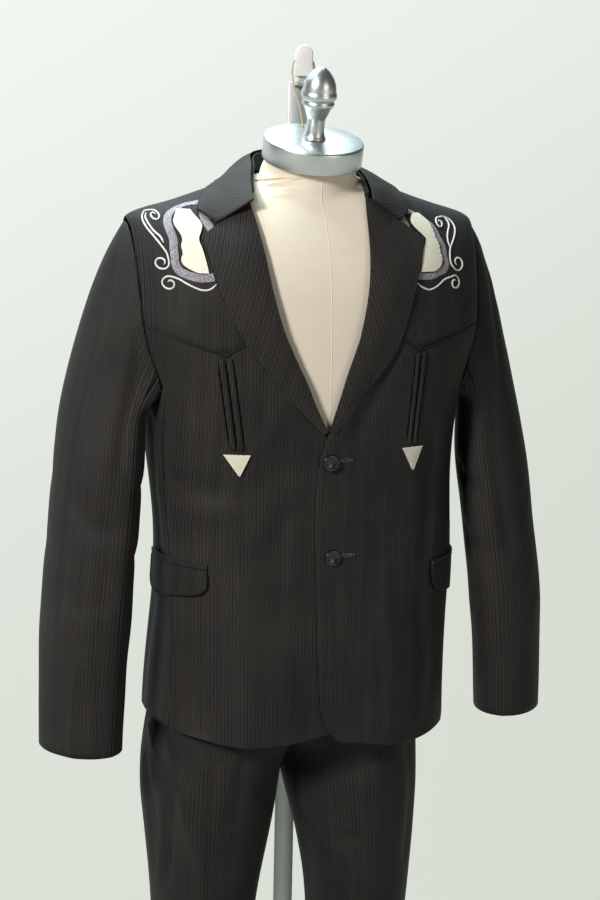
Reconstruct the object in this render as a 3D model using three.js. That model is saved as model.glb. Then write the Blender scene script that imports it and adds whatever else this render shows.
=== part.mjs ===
// Western suit on a limbless dress form: jacket and trousers of ribbed dark suiting, the ivory form
// that fills them, its steel neck cap and knob, and the stand with its hook and hanging loop.
// Millimetres, +Z up, front towards -Y, the wearer's right towards -X. The origin is on the floor.
import * as THREE from 'three';

const { lerp, degToRad, smoothstep } = THREE.MathUtils;

// ---------------------------------------------------------------- driving sizes
const clothWall = 2;          // suiting with its canvas or lining
const seamGap = 0.3;          // between pieces that are sewn together
const sideGap = 0.56;         // the same, measured across where the seam runs on a curved flank
const formInset = { body: 7, shoulder: 4.6, nape: 3 };   // the form's skin below the jacket's outer face
const formHalfWidth = 205;    // the form ends here, where an arm would start
const shoulderSeamY = 5;      // the shoulder seam lies a little behind the middle
const chestTop = 1400;        // above this the chest rounds over to the shoulder
const bladeTop = 1440;        // the same at the back
const rollPower = 2.1;        // roundness of that roll
const jacketHem = 900;
const trouserHem = 30;
const crotchZ = 818;

// the jacket's outer face, level by level
const torsoRows = [
  { z: 870, halfWidth: 201, front: 140, back: 132, power: 2.3 },
  { z: 1000, halfWidth: 199, front: 139, back: 128, power: 2.3 },
  { z: 1100, halfWidth: 197, front: 136, back: 118, power: 2.3 },
  { z: 1175, halfWidth: 194, front: 133, back: 108, power: 2.3 },
  { z: 1250, halfWidth: 198, front: 134, back: 113, power: 2.35 },
  { z: 1325, halfWidth: 207, front: 136, back: 124, power: 2.5 },
  { z: 1400, halfWidth: 226, front: 135, back: 132, power: 2.7 },
  { z: 1440, halfWidth: 229, front: 134, back: 132, power: 2.7 },
];

// what each flank's half width gains round one level: the jacket hangs a little to the left at the waist
const waistSway = {
  right: { z: 1090, reach: 110, gain: -11 },
  left: { z: 1140, reach: 90, gain: 8 },
};

// height of the shoulder line, from the middle of the neck out past the tip
const ridgeRows = [
  { out: 0, z: 1597 },
  { out: 75, z: 1591 },
  { out: 100, z: 1580 },
  { out: 130, z: 1569 },
  { out: 165, z: 1557 },
  { out: 200, z: 1548 },
  { out: 216, z: 1543 },
  { out: 226, z: 1535 },
  { out: 240, z: 1518 },
];

// outer edge of the fronts: the side seam, then the front of the armhole
const frontSideRows = [
  { z: 870, out: 182 },
  { z: 1335, out: 191 },
  { z: 1350, out: 198 },
  { z: 1371, out: 206 },
  { z: 1397, out: 212 },
  { z: 1430, out: 216 },
  { z: 1489, out: 219 },
  { z: 1526, out: 222 },
  { z: 1537, out: 224 },
];

// outer edge of the backs, in the same way
const backSideRows = [
  { z: 870, out: 175 },
  { z: 1345, out: 186 },
  { z: 1360, out: 193 },
  { z: 1380, out: 201 },
  { z: 1402, out: 207 },
  { z: 1460, out: 214 },
  { z: 1510, out: 219 },
  { z: 1537, out: 224 },
];

const armholeFoot = { front: 1335, back: 1345, dip: 20 };
const shoulderTipZ = 1537;
const neckPoint = { out: 75, z: 1591 };
const backYokeZ = 1424;

// each front: edge is its inner edge from hem to neck, which is the lapel's roll above the break
const fronts = {
  right: {
    name: 'Right', sign: -1, sunk: 3.4, cuffZ: 884,
    edge: [
      { z: 870, out: -12 }, { z: 1262, out: -12 }, { z: 1286, out: 3 }, { z: 1325, out: 23 },
      { z: 1345, out: 32 }, { z: 1377, out: 47 }, { z: 1413, out: 63 }, { z: 1459, out: 75 },
      { z: 1515, out: 83 }, { z: 1560, out: 89 }, { z: 1578, out: 85 }, { z: 1591, out: 75 },
    ],
    hem: [
      { out: -12, z: 906 }, { out: 54, z: 895 }, { out: 100, z: 893 }, { out: 153, z: 900 },
      { out: 190, z: 908 },
    ],
    sideHem: 915, backHem: 905,
    yoke: [{ out: 0, z: 1400 }, { out: 96, z: 1399 }, { out: 129, z: 1381 }, { out: 214, z: 1408 }],
    yokePoint: 129,
    lapel: {
      roll: [
        { out: 89, z: 1560 }, { out: 83, z: 1515 }, { out: 75, z: 1459 }, { out: 63, z: 1413 },
        { out: 47, z: 1377 }, { out: 31, z: 1345 }, { out: 22, z: 1322 }, { out: 5, z: 1288 },
      ],
      edge: [
        { out: 151, z: 1516 }, { out: 144, z: 1486 }, { out: 138, z: 1460 }, { out: 122, z: 1422 },
        { out: 106, z: 1393 }, { out: 82, z: 1362 }, { out: 58, z: 1333 }, { out: 12, z: 1286 },
      ],
    },
    collar: { corner: { out: 149, z: 1547 }, notch: { out: 132, z: 1534 } },
    pocket: { z: 1115, front: 43, depth: 33, square: 0.64 },
    tucks: [{ top: 134, foot: 117 }, { top: 125, foot: 108 }],
    arrow: { left: 128, right: 97, tip: 109, top: 1261, foot: 1235 },
    applique: [
      { z: 1476, inner: 146, outer: 158 }, { z: 1483, inner: 147, outer: 172 },
      { z: 1490, inner: 148, outer: 176 }, { z: 1498, inner: 149.5, outer: 172 },
      { z: 1506, inner: 151, outer: 174 }, { z: 1514, inner: 153.5, outer: 170.5 },
      { z: 1521, inner: 150, outer: 173 }, { z: 1532, inner: 146, outer: 178 },
      { z: 1540, inner: 152, outer: 174 }, { z: 1547, inner: 155, outer: 169 },
    ],
  },
  left: {
    name: 'Left', sign: 1, sunk: 0, cuffZ: 892,
    edge: [
      { z: 870, out: 40 }, { z: 893, out: 22 }, { z: 901, out: 11 }, { z: 912, out: 1 },
      { z: 928, out: -6 }, { z: 966, out: -9 }, { z: 1055, out: -13 }, { z: 1167, out: -16.5 },
      { z: 1240, out: -16 }, { z: 1266, out: -13 }, { z: 1288, out: -2 }, { z: 1318, out: 8 },
      { z: 1352, out: 17 }, { z: 1394, out: 32 }, { z: 1436, out: 43 }, { z: 1486, out: 50 },
      { z: 1562, out: 57 }, { z: 1580, out: 66 }, { z: 1591, out: 75 },
    ],
    hem: [
      { out: -20, z: 894 }, { out: 22, z: 894 }, { out: 67, z: 887 }, { out: 105, z: 880 },
      { out: 150, z: 881 }, { out: 190, z: 888 },
    ],
    sideHem: 895, backHem: 899,
    yoke: [{ out: 0, z: 1401 }, { out: 84, z: 1400 }, { out: 112, z: 1384 }, { out: 214, z: 1412 }],
    yokePoint: 112,
    lapel: {
      roll: [
        { out: 57, z: 1562 }, { out: 50, z: 1486 }, { out: 43, z: 1436 }, { out: 32, z: 1394 },
        { out: 17, z: 1352 }, { out: 8, z: 1318 }, { out: 0, z: 1290 },
      ],
      edge: [
        { out: 126, z: 1515 }, { out: 112, z: 1475 }, { out: 105, z: 1456 }, { out: 85, z: 1393 },
        { out: 67, z: 1365 }, { out: 37, z: 1331 }, { out: 5, z: 1287 },
      ],
    },
    collar: { corner: { out: 114, z: 1548 }, notch: { out: 98, z: 1538 } },
    pocket: { z: 1105, front: 46.5, depth: 37, square: 0.4 },
    tucks: [{ top: 120, foot: 112 }, { top: 111, foot: 104 }],
    arrow: { left: 95, right: 125, tip: 112, top: 1263, foot: 1234 },
    applique: [
      { z: 1477, inner: 115, outer: 136 }, { z: 1483, inner: 117, outer: 146 },
      { z: 1490, inner: 119, outer: 150 }, { z: 1500, inner: 121.5, outer: 147.5 },
      { z: 1508, inner: 125.5, outer: 148.5 }, { z: 1516, inner: 129.5, outer: 144 },
      { z: 1526, inner: 119, outer: 143.5 }, { z: 1536, inner: 112, outer: 139 },
      { z: 1545, inner: 118.5, outer: 128 },
    ],
  },
};

// sleeve sections below the armhole: centre, and the half widths along and across the flat of the arm
const sleeveRows = [
  { z: 1290, out: 256, y: -8, wide: 65, narrow: 40 },
  { z: 1235, out: 260, y: -14, wide: 65, narrow: 47 },
  { z: 1150, out: 270, y: -24, wide: 66, narrow: 48 },
  { z: 1060, out: 280, y: -33, wide: 66, narrow: 48 },
  { z: 960, out: 286, y: -38, wide: 62, narrow: 45 },
  { z: 870, out: 289, y: -40, wide: 60, narrow: 43 },
];
const sleeveTurn = 35;                                   // the flat of the arm turns in by this
const sleeveSeams = { front: 8, back: 196 };             // degrees round the sleeve from its front fold
const armholeShare = { front: 0.03, back: 0.62 };        // where the two seams meet the armhole
const sleeveStand = 1.5;                                 // the sleeve head stands off the armhole edge

// trousers: half of the seat above the fork, one whole leg below it
const seatRows = [
  { z: 800, halfWidth: 189, front: 100, back: 114 },
  { z: 870, halfWidth: 185, front: 112, back: 111 },
  { z: 960, halfWidth: 184, front: 118, back: 106 },
  { z: 1050, halfWidth: 176, front: 112, back: 95 },
  { z: 1090, halfWidth: 170, front: 110, back: 88 },
];
const legRows = [
  { z: trouserHem, out: 108, y: 28, halfWidth: 60, halfDepth: 72 },
  { z: 300, out: 109, y: 26, halfWidth: 61, halfDepth: 74 },
  { z: 520, out: 108, y: 22, halfWidth: 65, halfDepth: 80 },
  { z: 640, out: 107, y: 18, halfWidth: 71, halfDepth: 88 },
  { z: 740, out: 101, y: 14, halfWidth: 84, halfDepth: 100 },
  { z: 815, out: 94.7, y: 12, halfWidth: 94, halfDepth: 108 },
  { z: 900, out: 94, y: 12, halfWidth: 93.5, halfDepth: 110 },
];
const seatY = 12;

// how far the legs hang over to the right below the form
const swingRows = [
  { z: 640, right: 7 },
  { z: 740, right: 10 },
  { z: 850, right: 14.5 },
  { z: 935, right: 0 },
];
const forkTop = 905;                                     // the fork's curve starts here
const waistSeam = 1050;
const waistTop = 1088;

// form, cap, knob and stand
const capTilt = 17;
const cap = { y: -40, z: 1633, radius: 61.5, height: 27, edge: 3 };
const standTurn = -15;                                   // the stand is turned this far about the plumb line
const hookAt = { x: 0, y: 8 };
const armLength = 147;
const bar = { width: 27, depth: 8 };
const arm = { width: 14, thick: 5, z: 1698, rise: 9 };
const baseDisc = { radius: 215, height: 8, y: 35 };
const hookTip = { width: 22, depth: 12, height: 38 };
const loopSeat = { from: 9, to: 13, height: 32 };        // the arm's tongue behind the tip, which carries the loop

// ---------------------------------------------------------------- materials
const suiting = new THREE.MeshStandardMaterial({ color: 0x2b2a2b, roughness: 0.85, metalness: 0 });
const cream = new THREE.MeshStandardMaterial({ color: 0xe9e4d4, roughness: 0.7, metalness: 0 });
const canvas = new THREE.MeshStandardMaterial({ color: 0xf0eadb, roughness: 0.9, metalness: 0 });
const blackPlastic = new THREE.MeshStandardMaterial({ color: 0x101011, roughness: 0.3, metalness: 0 });
const steel = new THREE.MeshStandardMaterial({ color: 0xa8abad, roughness: 0.35, metalness: 1 });
const whitePlastic = new THREE.MeshStandardMaterial({ color: 0xefefec, roughness: 0.4, metalness: 0 });
const brass = new THREE.MeshStandardMaterial({ color: 0xb49a6a, roughness: 0.4, metalness: 1 });

// ---------------------------------------------------------------- tables
// a column of a table at a value of its key column, eased from row to row
function eased(rows, key, at, column) {
  const last = rows.length - 1;
  if (at <= rows[0][key]) return rows[0][column];
  if (at >= rows[last][key]) return rows[last][column];
  const i = rows.findIndex((row) => row[key] > at) - 1;
  const slope = (a, b) => (rows[b][column] - rows[a][column]) / (rows[b][key] - rows[a][key]);
  const step = rows[i + 1][key] - rows[i][key];
  const here = slope(i, i + 1);
  const tame = (other) => (other * here <= 0 ? 0 : (other + here) / 2);
  const m0 = tame(slope(Math.max(i - 1, 0), Math.max(i - 1, 0) + 1)) * step;
  const m1 = tame(slope(Math.min(i + 1, last - 1), Math.min(i + 1, last - 1) + 1)) * step;
  const t = (at - rows[i][key]) / step;
  const t2 = t * t;
  const t3 = t2 * t;
  return (2 * t3 - 3 * t2 + 1) * rows[i][column] + (t3 - 2 * t2 + t) * m0
    + (3 * t2 - 2 * t3) * rows[i + 1][column] + (t3 - t2) * m1;
}

// the same, straight from row to row
function straight(rows, key, at, column) {
  const i = Math.max(1, rows.findIndex((row) => row[key] >= at));
  if (at > rows[rows.length - 1][key]) return rows[rows.length - 1][column];
  const t = (at - rows[i - 1][key]) / (rows[i][key] - rows[i - 1][key]);
  return lerp(rows[i - 1][column], rows[i][column], Math.max(t, 0));
}

// where a listed outline is after a share of its rows
function alongRows(rows, share) {
  const place = share * (rows.length - 1);
  const i = Math.min(Math.floor(place), rows.length - 2);
  return {
    out: lerp(rows[i].out, rows[i + 1].out, place - i),
    z: lerp(rows[i].z, rows[i + 1].z, place - i),
  };
}

const steps = (count) => Array.from({ length: count + 1 }, (_, i) => i / count);

// ---------------------------------------------------------------- solids from sheets
// A closed wall over a sheet at(u, v). under and over are the heights of its two faces above the
// sheet, along the sheet's normal, which points away from the point "inside".
function sheetSolid({ at, us, vs, inside, under = -clothWall, over = 0 }) {
  const reach = 1e-3;
  const normalAt = (u, v) => {
    const uSafe = THREE.MathUtils.clamp(u, 2 * reach, 1 - 2 * reach);
    const vSafe = THREE.MathUtils.clamp(v, 2 * reach, 1 - 2 * reach);
    const du = at(uSafe + reach, vSafe).sub(at(uSafe - reach, vSafe));
    const dv = at(uSafe, vSafe + reach).sub(at(uSafe, vSafe - reach));
    return du.cross(dv).normalize();
  };
  const middle = at(0.5, 0.5);
  const turn = normalAt(0.5, 0.5).dot(middle.clone().sub(inside)) > 0 ? 1 : -1;
  const height = (value, u, v) => (typeof value === 'function' ? value(u, v) : value);
  const positions = [];
  for (const face of [over, under]) {
    for (const v of vs) {
      for (const u of us) {
        const lift = height(face, u, v) * turn;
        positions.push(...at(u, v).addScaledVector(normalAt(u, v), lift).toArray());
      }
    }
  }
  const columns = us.length;
  const lower = columns * vs.length;
  const index = [];
  const quad = (a, b, c, d) => (turn > 0 ? index.push(a, b, c, a, c, d) : index.push(a, c, b, a, d, c));
  for (let j = 0; j + 1 < vs.length; j += 1) {
    for (let i = 0; i + 1 < columns; i += 1) {
      const a = j * columns + i;
      quad(a, a + 1, a + columns + 1, a + columns);
      quad(lower + a, lower + a + columns, lower + a + columns + 1, lower + a + 1);
    }
    const first = j * columns;
    const last = first + columns - 1;
    quad(first, first + columns, lower + first + columns, lower + first);
    quad(last, lower + last, lower + last + columns, last + columns);
  }
  const top = (vs.length - 1) * columns;
  for (let i = 0; i + 1 < columns; i += 1) {
    quad(i, lower + i, lower + i + 1, i + 1);
    quad(top + i, top + i + 1, lower + top + i + 1, lower + top + i);
  }
  const geometry = new THREE.BufferGeometry();
  geometry.setAttribute('position', new THREE.Float32BufferAttribute(positions, 3));
  geometry.setIndex(index);
  return geometry;
}

// a closed solid through rings of equally many points, capped flat at both ends
function loftSolid(rings) {
  const count = rings[0].length;
  const positions = rings.flat().flatMap((point) => point.toArray());
  const index = [];
  for (let j = 0; j + 1 < rings.length; j += 1) {
    for (let i = 0; i < count; i += 1) {
      const a = j * count + i;
      const b = j * count + ((i + 1) % count);
      index.push(a, b, b + count, a, b + count, a + count);
    }
  }
  const hub = (ring) => ring.reduce((sum, point) => sum.add(point), new THREE.Vector3())
    .divideScalar(count).toArray();
  const foot = positions.length / 3;
  positions.push(...hub(rings[0]), ...hub(rings[rings.length - 1]));
  const top = (rings.length - 1) * count;
  for (let i = 0; i < count; i += 1) {
    const next = (i + 1) % count;
    index.push(foot, next, i);
    index.push(foot + 1, top + i, top + next);
  }
  const geometry = new THREE.BufferGeometry();
  geometry.setAttribute('position', new THREE.Float32BufferAttribute(positions, 3));
  geometry.setIndex(index);
  return geometry;
}

// The largest folds. Each row is a line over a panel from (u, v) to (u2, v2): height raises the cloth
// there, or sinks it, and width is the reach to each side. They die away at the panel's seams.
const foldEase = 0.14;
function foldHeight(rows, size, u, v) {
  let height = 0;
  for (const row of rows) {
    const line = new THREE.Vector2((row.u2 - row.u) * size.width, (row.v2 - row.v) * size.length);
    const away = new THREE.Vector2((u - row.u) * size.width, (v - row.v) * size.length);
    const share = THREE.MathUtils.clamp(away.dot(line) / line.lengthSq(), 0, 1);
    height += row.height * Math.exp(-((away.addScaledVector(line, -share).length() / row.width) ** 2));
  }
  return height * smoothstep(Math.min(u, 1 - u), 0, foldEase);
}
const folded = (rows, size) => ({
  under: (u, v) => foldHeight(rows, size, u, v) - clothWall,
  over: (u, v) => foldHeight(rows, size, u, v),
});

const suit = new THREE.Group();

function add(name, geometry, material, place = suit) {
  const mesh = new THREE.Mesh(geometry, material.clone());
  mesh.name = name;
  place.add(mesh);
  return mesh;
}

// ---------------------------------------------------------------- the torso's face
const ridgeZ = (x) => eased(ridgeRows, 'out', Math.abs(x), 'z');
function swayAt(sign, z) {
  const sway = sign < 0 ? waistSway.right : waistSway.left;
  return sway.gain * Math.exp(-(((z - sway.z) / sway.reach) ** 2));
}
const halfWidthAt = (sign, z) => eased(torsoRows, 'z', z, 'halfWidth') + swayAt(sign, z);
const frontSideAt = (sign, z) => straight(frontSideRows, 'z', z, 'out') + swayAt(sign, z);
const backSideAt = (sign, z) => straight(backSideRows, 'z', z, 'out') + swayAt(sign, z);

// depth of the face at x and z; side is -1 for the front and 1 for the back
function faceY(x, z, side, inset = 0) {
  const top = side < 0 ? chestTop : bladeTop;
  const level = Math.min(z, top);
  const halfWidth = halfWidthAt(Math.sign(x), level) - inset;
  const depth = eased(torsoRows, 'z', level, side < 0 ? 'front' : 'back') - inset;
  const power = eased(torsoRows, 'z', level, 'power');
  const reach = Math.min(Math.abs(x) / halfWidth, 0.9995);
  const lowY = side * depth * (1 - reach ** power) ** (1 / power);
  if (z <= top) return lowY;
  const climb = Math.min((z - top) / (ridgeZ(x) - inset - top), 1);
  const seamY = shoulderSeamY + (side > 0 ? seamGap : 0);
  return seamY + (lowY - seamY) * (1 - climb ** rollPower) ** (1 / rollPower);
}

const facePoint = (x, z, side) => new THREE.Vector3(x, faceY(x, z, side), z);

// a point round the flank, by the angle from the side line: positive towards the front
function flankPoint(sign, angle, z) {
  const power = eased(torsoRows, 'z', z, 'power');
  const side = angle > 0 ? 'front' : 'back';
  const x = halfWidthAt(sign, z) * Math.cos(angle) ** (2 / power);
  const y = eased(torsoRows, 'z', z, side) * Math.abs(Math.sin(angle)) ** (2 / power);
  return new THREE.Vector3(sign * x, -Math.sign(angle) * y, z);
}

// the flank angle at which the face is a given distance out
function flankAngle(sign, out, z) {
  const power = eased(torsoRows, 'z', z, 'power');
  return Math.acos((out / halfWidthAt(sign, z)) ** (power / 2));
}

const torsoInside = new THREE.Vector3(0, 0, 1200);

// columns from the inner edge through the yoke's point to the outer edge
const pointShare = 0.5;
function across(u, inner, point, outer) {
  if (u <= pointShare) return lerp(inner, point, u / pointShare);
  return lerp(point, outer, Math.sin(((u - pointShare) / (1 - pointShare)) * Math.PI / 2));
}

// ---------------------------------------------------------------- fronts and yokes
// the right front sinks under the left where the two lap
const lapSink = (front, out) => front.sunk * (1 - smoothstep(out, 20, 44));

const hemZ = (front, out) => eased(front.hem, 'out', out, 'z');
const yokeZ = (front, out) => straight(front.yoke, 'out', out, 'z');

// how far out a front reaches at a share of its height
function sideOut(front, share) {
  let out = frontSideRows[1].out;
  for (let pass = 0; pass < 6; pass += 1) {
    out = frontSideAt(front.sign, lerp(hemZ(front, out), yokeZ(front, out) - seamGap, share));
  }
  return out;
}
const shareAt = (z, foot, top) => (z - foot) / (top - foot);

function frontSheet(front) {
  const hemAtEdge = front.hem[0].z;
  const yokeAtEdge = straight(front.yoke, 'out', 40, 'z');
  return (u, v) => {
    const level = lerp(hemAtEdge, yokeAtEdge, v);
    const inner = eased(front.edge, 'z', level, 'out');
    const out = across(u, inner, front.yokePoint, sideOut(front, v));
    const z = lerp(hemZ(front, out), yokeZ(front, out) - seamGap, v);
    const point = facePoint(front.sign * out, z, -1);
    point.y += lapSink(front, out);
    return point;
  };
}

function yokeSheet(front) {
  const yokeAtEdge = straight(front.yoke, 'out', 40, 'z');
  const yokeAtArm = yokeZ(front, frontSideRows[4].out);
  return (u, v) => {
    const rise = Math.sin(v * Math.PI / 2);
    const inner = eased(front.edge, 'z', lerp(yokeAtEdge, neckPoint.z, rise), 'out');
    const outer = frontSideAt(front.sign, lerp(yokeAtArm, shoulderTipZ, rise));
    const out = across(u, inner, front.yokePoint, outer);
    const z = lerp(yokeZ(front, out), ridgeZ(out), rise);
    return facePoint(front.sign * out, z, -1);
  };
}

const frontColumns = steps(10);
const frontSize = { width: 200, length: 500 };
const frontFolds = {
  Right: [
    { u: 0.86, v: 0.93, u2: 0.78, v2: 0.62, width: 16, height: -3 },
    { u: 0.62, v: 0, u2: 0.55, v2: 0.22, width: 18, height: -2.6 },
    { u: 0.2, v: 0.56, u2: 0.42, v2: 0.62, width: 14, height: -2 },
  ],
  Left: [
    { u: 0.84, v: 0.92, u2: 0.74, v2: 0.58, width: 17, height: -3 },
    { u: 0.5, v: 0, u2: 0.58, v2: 0.24, width: 20, height: -3 },
    { u: 0.24, v: 0.58, u2: 0.44, v2: 0.65, width: 13, height: -2 },
  ],
};
for (const front of Object.values(fronts)) {
  const kinks = frontSideRows.slice(1, 5)
    .map((row) => shareAt(row.z, hemZ(front, row.out), yokeZ(front, row.out) - seamGap));
  const levels = [0, 0.012, 0.03, 0.07, 0.17, 0.28, 0.39, 0.5, 0.6, 0.69, 0.77, ...kinks, 1];
  add(`Front${front.name}`, sheetSolid({
    at: frontSheet(front), us: frontColumns, vs: levels, inside: torsoInside,
    ...folded(frontFolds[front.name], frontSize),
  }), suiting);
  add(`Yoke${front.name}`, sheetSolid({
    at: yokeSheet(front), us: frontColumns, vs: steps(7), inside: torsoInside,
  }), suiting);
}

// ---------------------------------------------------------------- side panels and backs
function sidePanelSheet(front) {
  return (u, v) => {
    const foot = lerp(front.sideHem - 7, front.backHem, u) + 7 * Math.sin(Math.PI * u);
    const top = lerp(armholeFoot.front, armholeFoot.back, u) - seamGap - armholeFoot.dip * Math.sin(Math.PI * u);
    const z = lerp(foot, top, v);
    const frontAngle = flankAngle(front.sign, frontSideAt(front.sign, z) + sideGap, z);
    const backAngle = flankAngle(front.sign, backSideAt(front.sign, z) + sideGap, z);
    return flankPoint(front.sign, lerp(frontAngle, -backAngle, u), z);
  };
}

function backSheet(front) {
  return (u, v) => {
    const foot = lerp(jacketHem, front.backHem, u);
    const z = lerp(foot, backYokeZ - seamGap, v);
    const out = lerp(seamGap / 2, backSideAt(front.sign, z), Math.sin(u * Math.PI / 2));
    return facePoint(front.sign * out, z, 1);
  };
}

const backNeckZ = (out) => lerp(1584, neckPoint.z, smoothstep(out, 0, neckPoint.out));

function backYokeSheet(u, v) {
  const rise = Math.sin(v * Math.PI / 2);
  const outer = backSideAt(Math.sign(u - 0.5), lerp(backYokeZ, shoulderTipZ, rise));
  const x = outer * Math.sin((u - 0.5) * Math.PI) * 0.4 + outer * (u - 0.5) * 2 * 0.6;
  const top = Math.abs(x) < neckPoint.out ? backNeckZ(Math.abs(x)) : ridgeZ(x);
  return facePoint(x, lerp(backYokeZ, top, rise), 1);
}

const backSize = { width: 190, length: 520 };
const backFolds = {
  Right: [
    { u: 0.8, v: 0.9, u2: 0.62, v2: 0.6, width: 18, height: -3 },
    { u: 0.45, v: 0, u2: 0.52, v2: 0.3, width: 22, height: -3 },
    { u: 0.16, v: 0.42, u2: 0.66, v2: 0.47, width: 14, height: -2.4 },
  ],
  Left: [
    { u: 0.78, v: 0.92, u2: 0.6, v2: 0.64, width: 17, height: -3 },
    { u: 0.55, v: 0, u2: 0.5, v2: 0.26, width: 20, height: -2.6 },
    { u: 0.2, v: 0.46, u2: 0.7, v2: 0.44, width: 15, height: -2.2 },
  ],
};
for (const front of Object.values(fronts)) {
  add(`SidePanel${front.name}`, sheetSolid({
    at: sidePanelSheet(front), us: steps(6), vs: steps(11), inside: torsoInside,
  }), suiting);
  const kinks = backSideRows.slice(1, 5).map((row) => shareAt(row.z, front.backHem, backYokeZ));
  add(`Back${front.name}`, sheetSolid({
    at: backSheet(front), us: steps(7), vs: [...steps(8).map((share) => share * kinks[0]), ...kinks.slice(1), 1],
    inside: torsoInside, ...folded(backFolds[front.name], backSize),
  }), suiting);
}
add('BackYoke', sheetSolid({
  at: backYokeSheet, us: steps(16), vs: steps(6), inside: torsoInside,
}), suiting);

// ---------------------------------------------------------------- sleeves
// the armhole edge as one loop: up the front, down the back and round under the arm
function armholeLoop(front) {
  const loop = [];
  const rise = (share) => Math.sin(share * Math.PI / 2);
  for (const share of steps(9)) {
    const z = lerp(armholeFoot.front, shoulderTipZ, rise(share));
    loop.push(facePoint(front.sign * frontSideAt(front.sign, z), z, -1));
  }
  for (const share of steps(9).reverse().slice(1)) {
    const z = lerp(armholeFoot.back, shoulderTipZ, rise(share));
    loop.push(facePoint(front.sign * backSideAt(front.sign, z), z, 1));
  }
  const underArm = sidePanelSheet(front);
  for (const share of steps(6).reverse().slice(1, -1)) {
    loop.push(underArm(share, 1).add(new THREE.Vector3(0, 0, 0.4)));
  }
  return new THREE.CatmullRomCurve3(loop, true, 'centripetal');
}

function sleevePoint(front, angle, z) {
  const row = (column) => eased([...sleeveRows].reverse(), 'z', z, column);
  const turn = degToRad(sleeveTurn);
  const along = row('wide') * Math.cos(angle);
  const aside = row('narrow') * Math.sin(angle);
  const inward = along * Math.sin(turn) - aside * Math.cos(turn);
  const forward = along * Math.cos(turn) + aside * Math.sin(turn);
  return new THREE.Vector3(front.sign * (row('out') - inward), row('y') - forward, z);
}

const sleeveHeadShare = 0.4;
function sleeveSheet(front, loop, from, to) {
  const headFoot = sleeveRows[0].z;
  return (u, v) => {
    const angle = degToRad(lerp(from.angle, to.angle, u));
    if (v > sleeveHeadShare) {
      const z = lerp(headFoot, front.cuffZ, (v - sleeveHeadShare) / (1 - sleeveHeadShare));
      return sleevePoint(front, angle, z);
    }
    const start = loop.getPointAt((lerp(from.share, to.share, u) + 1) % 1);
    start.x += front.sign * sleeveStand;
    const end = sleevePoint(front, angle, headFoot);
    const t = v / sleeveHeadShare;
    const span = start.distanceTo(end);
    const high = smoothstep(start.z, armholeFoot.front, shoulderTipZ - 30);
    const leave = new THREE.Vector3(front.sign * lerp(0.35, 0.5, high), 0, lerp(-0.8, -0.6, high))
      .multiplyScalar(span * lerp(0.9, 0.62, high));
    const arrive = sleevePoint(front, angle, headFoot - 10).sub(end).normalize().multiplyScalar(span * 1.1);
    const t2 = t * t;
    const t3 = t2 * t;
    return start.multiplyScalar(2 * t3 - 3 * t2 + 1).addScaledVector(leave, t3 - 2 * t2 + t)
      .addScaledVector(end, 3 * t2 - 2 * t3).addScaledVector(arrive, t3 - t2);
  };
}

const sleeveLevels = [
  ...steps(6).map((share) => share * sleeveHeadShare),
  ...steps(11).slice(1).map((share) => lerp(sleeveHeadShare, 1, share)),
];
const sleeveSize = { width: 165, length: 700 };
const sleeveFolds = {
  TopRight: [
    { u: 0.1, v: 0.55, u2: 0.62, v2: 0.61, width: 17, height: -3.4 },
    { u: 0.12, v: 0.68, u2: 0.7, v2: 0.74, width: 15, height: -3 },
    { u: 0.3, v: 0.85, u2: 0.8, v2: 0.8, width: 14, height: -2.4 },
  ],
  TopLeft: [
    { u: 0.08, v: 0.57, u2: 0.56, v2: 0.65, width: 18, height: -3.6 },
    { u: 0.14, v: 0.72, u2: 0.66, v2: 0.76, width: 14, height: -2.6 },
    { u: 0.34, v: 0.88, u2: 0.82, v2: 0.83, width: 15, height: -2.6 },
  ],
  UnderRight: [
    { u: 0.3, v: 0.6, u2: 0.92, v2: 0.53, width: 18, height: -3.4 },
    { u: 0.2, v: 0.7, u2: 0.86, v2: 0.66, width: 15, height: -3 },
    { u: 0.35, v: 0.8, u2: 0.84, v2: 0.83, width: 15, height: -2.4 },
  ],
  UnderLeft: [
    { u: 0.26, v: 0.62, u2: 0.9, v2: 0.56, width: 17, height: -3.2 },
    { u: 0.24, v: 0.73, u2: 0.88, v2: 0.69, width: 16, height: -3 },
    { u: 0.3, v: 0.84, u2: 0.8, v2: 0.86, width: 14, height: -2.4 },
  ],
};
for (const front of Object.values(fronts)) {
  const loop = armholeLoop(front);
  const inside = new THREE.Vector3(front.sign * 275, -20, 1230);
  const split = 0.35;                                    // degrees kept clear on each side of a seam
  const seam = (angle, share) => ({ angle, share });
  const shareGap = 0.0012;
  add(`TopSleeve${front.name}`, sheetSolid({
    at: sleeveSheet(front, loop, seam(sleeveSeams.front + split, armholeShare.front + shareGap),
      seam(sleeveSeams.back - split, armholeShare.back - shareGap)),
    us: steps(11), vs: sleeveLevels, inside, ...folded(sleeveFolds[`Top${front.name}`], sleeveSize),
  }), suiting);
  add(`UnderSleeve${front.name}`, sheetSolid({
    at: sleeveSheet(front, loop, seam(sleeveSeams.back + split, armholeShare.back + shareGap),
      seam(sleeveSeams.front + 360 - split, armholeShare.front + 1 - shareGap)),
    us: steps(10), vs: sleeveLevels, inside, ...folded(sleeveFolds[`Under${front.name}`], sleeveSize),
  }), suiting);
}

// ---------------------------------------------------------------- lapels and collar
// a piece that lies on a front: out and z from a rule, raised along the front's own normal
const layerGap = 0.4;
const lapelWall = 2;
const lapelRoll = 3.5;        // how far the lapel's belly stands off the chest

function lapelSheet(front) {
  return (u, v) => {
    const roll = alongRows(front.lapel.roll, v);
    const edge = alongRows(front.lapel.edge, v);
    const out = lerp(roll.out, edge.out, u);
    return facePoint(front.sign * out, lerp(roll.z, edge.z, u), -1);
  };
}

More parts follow.
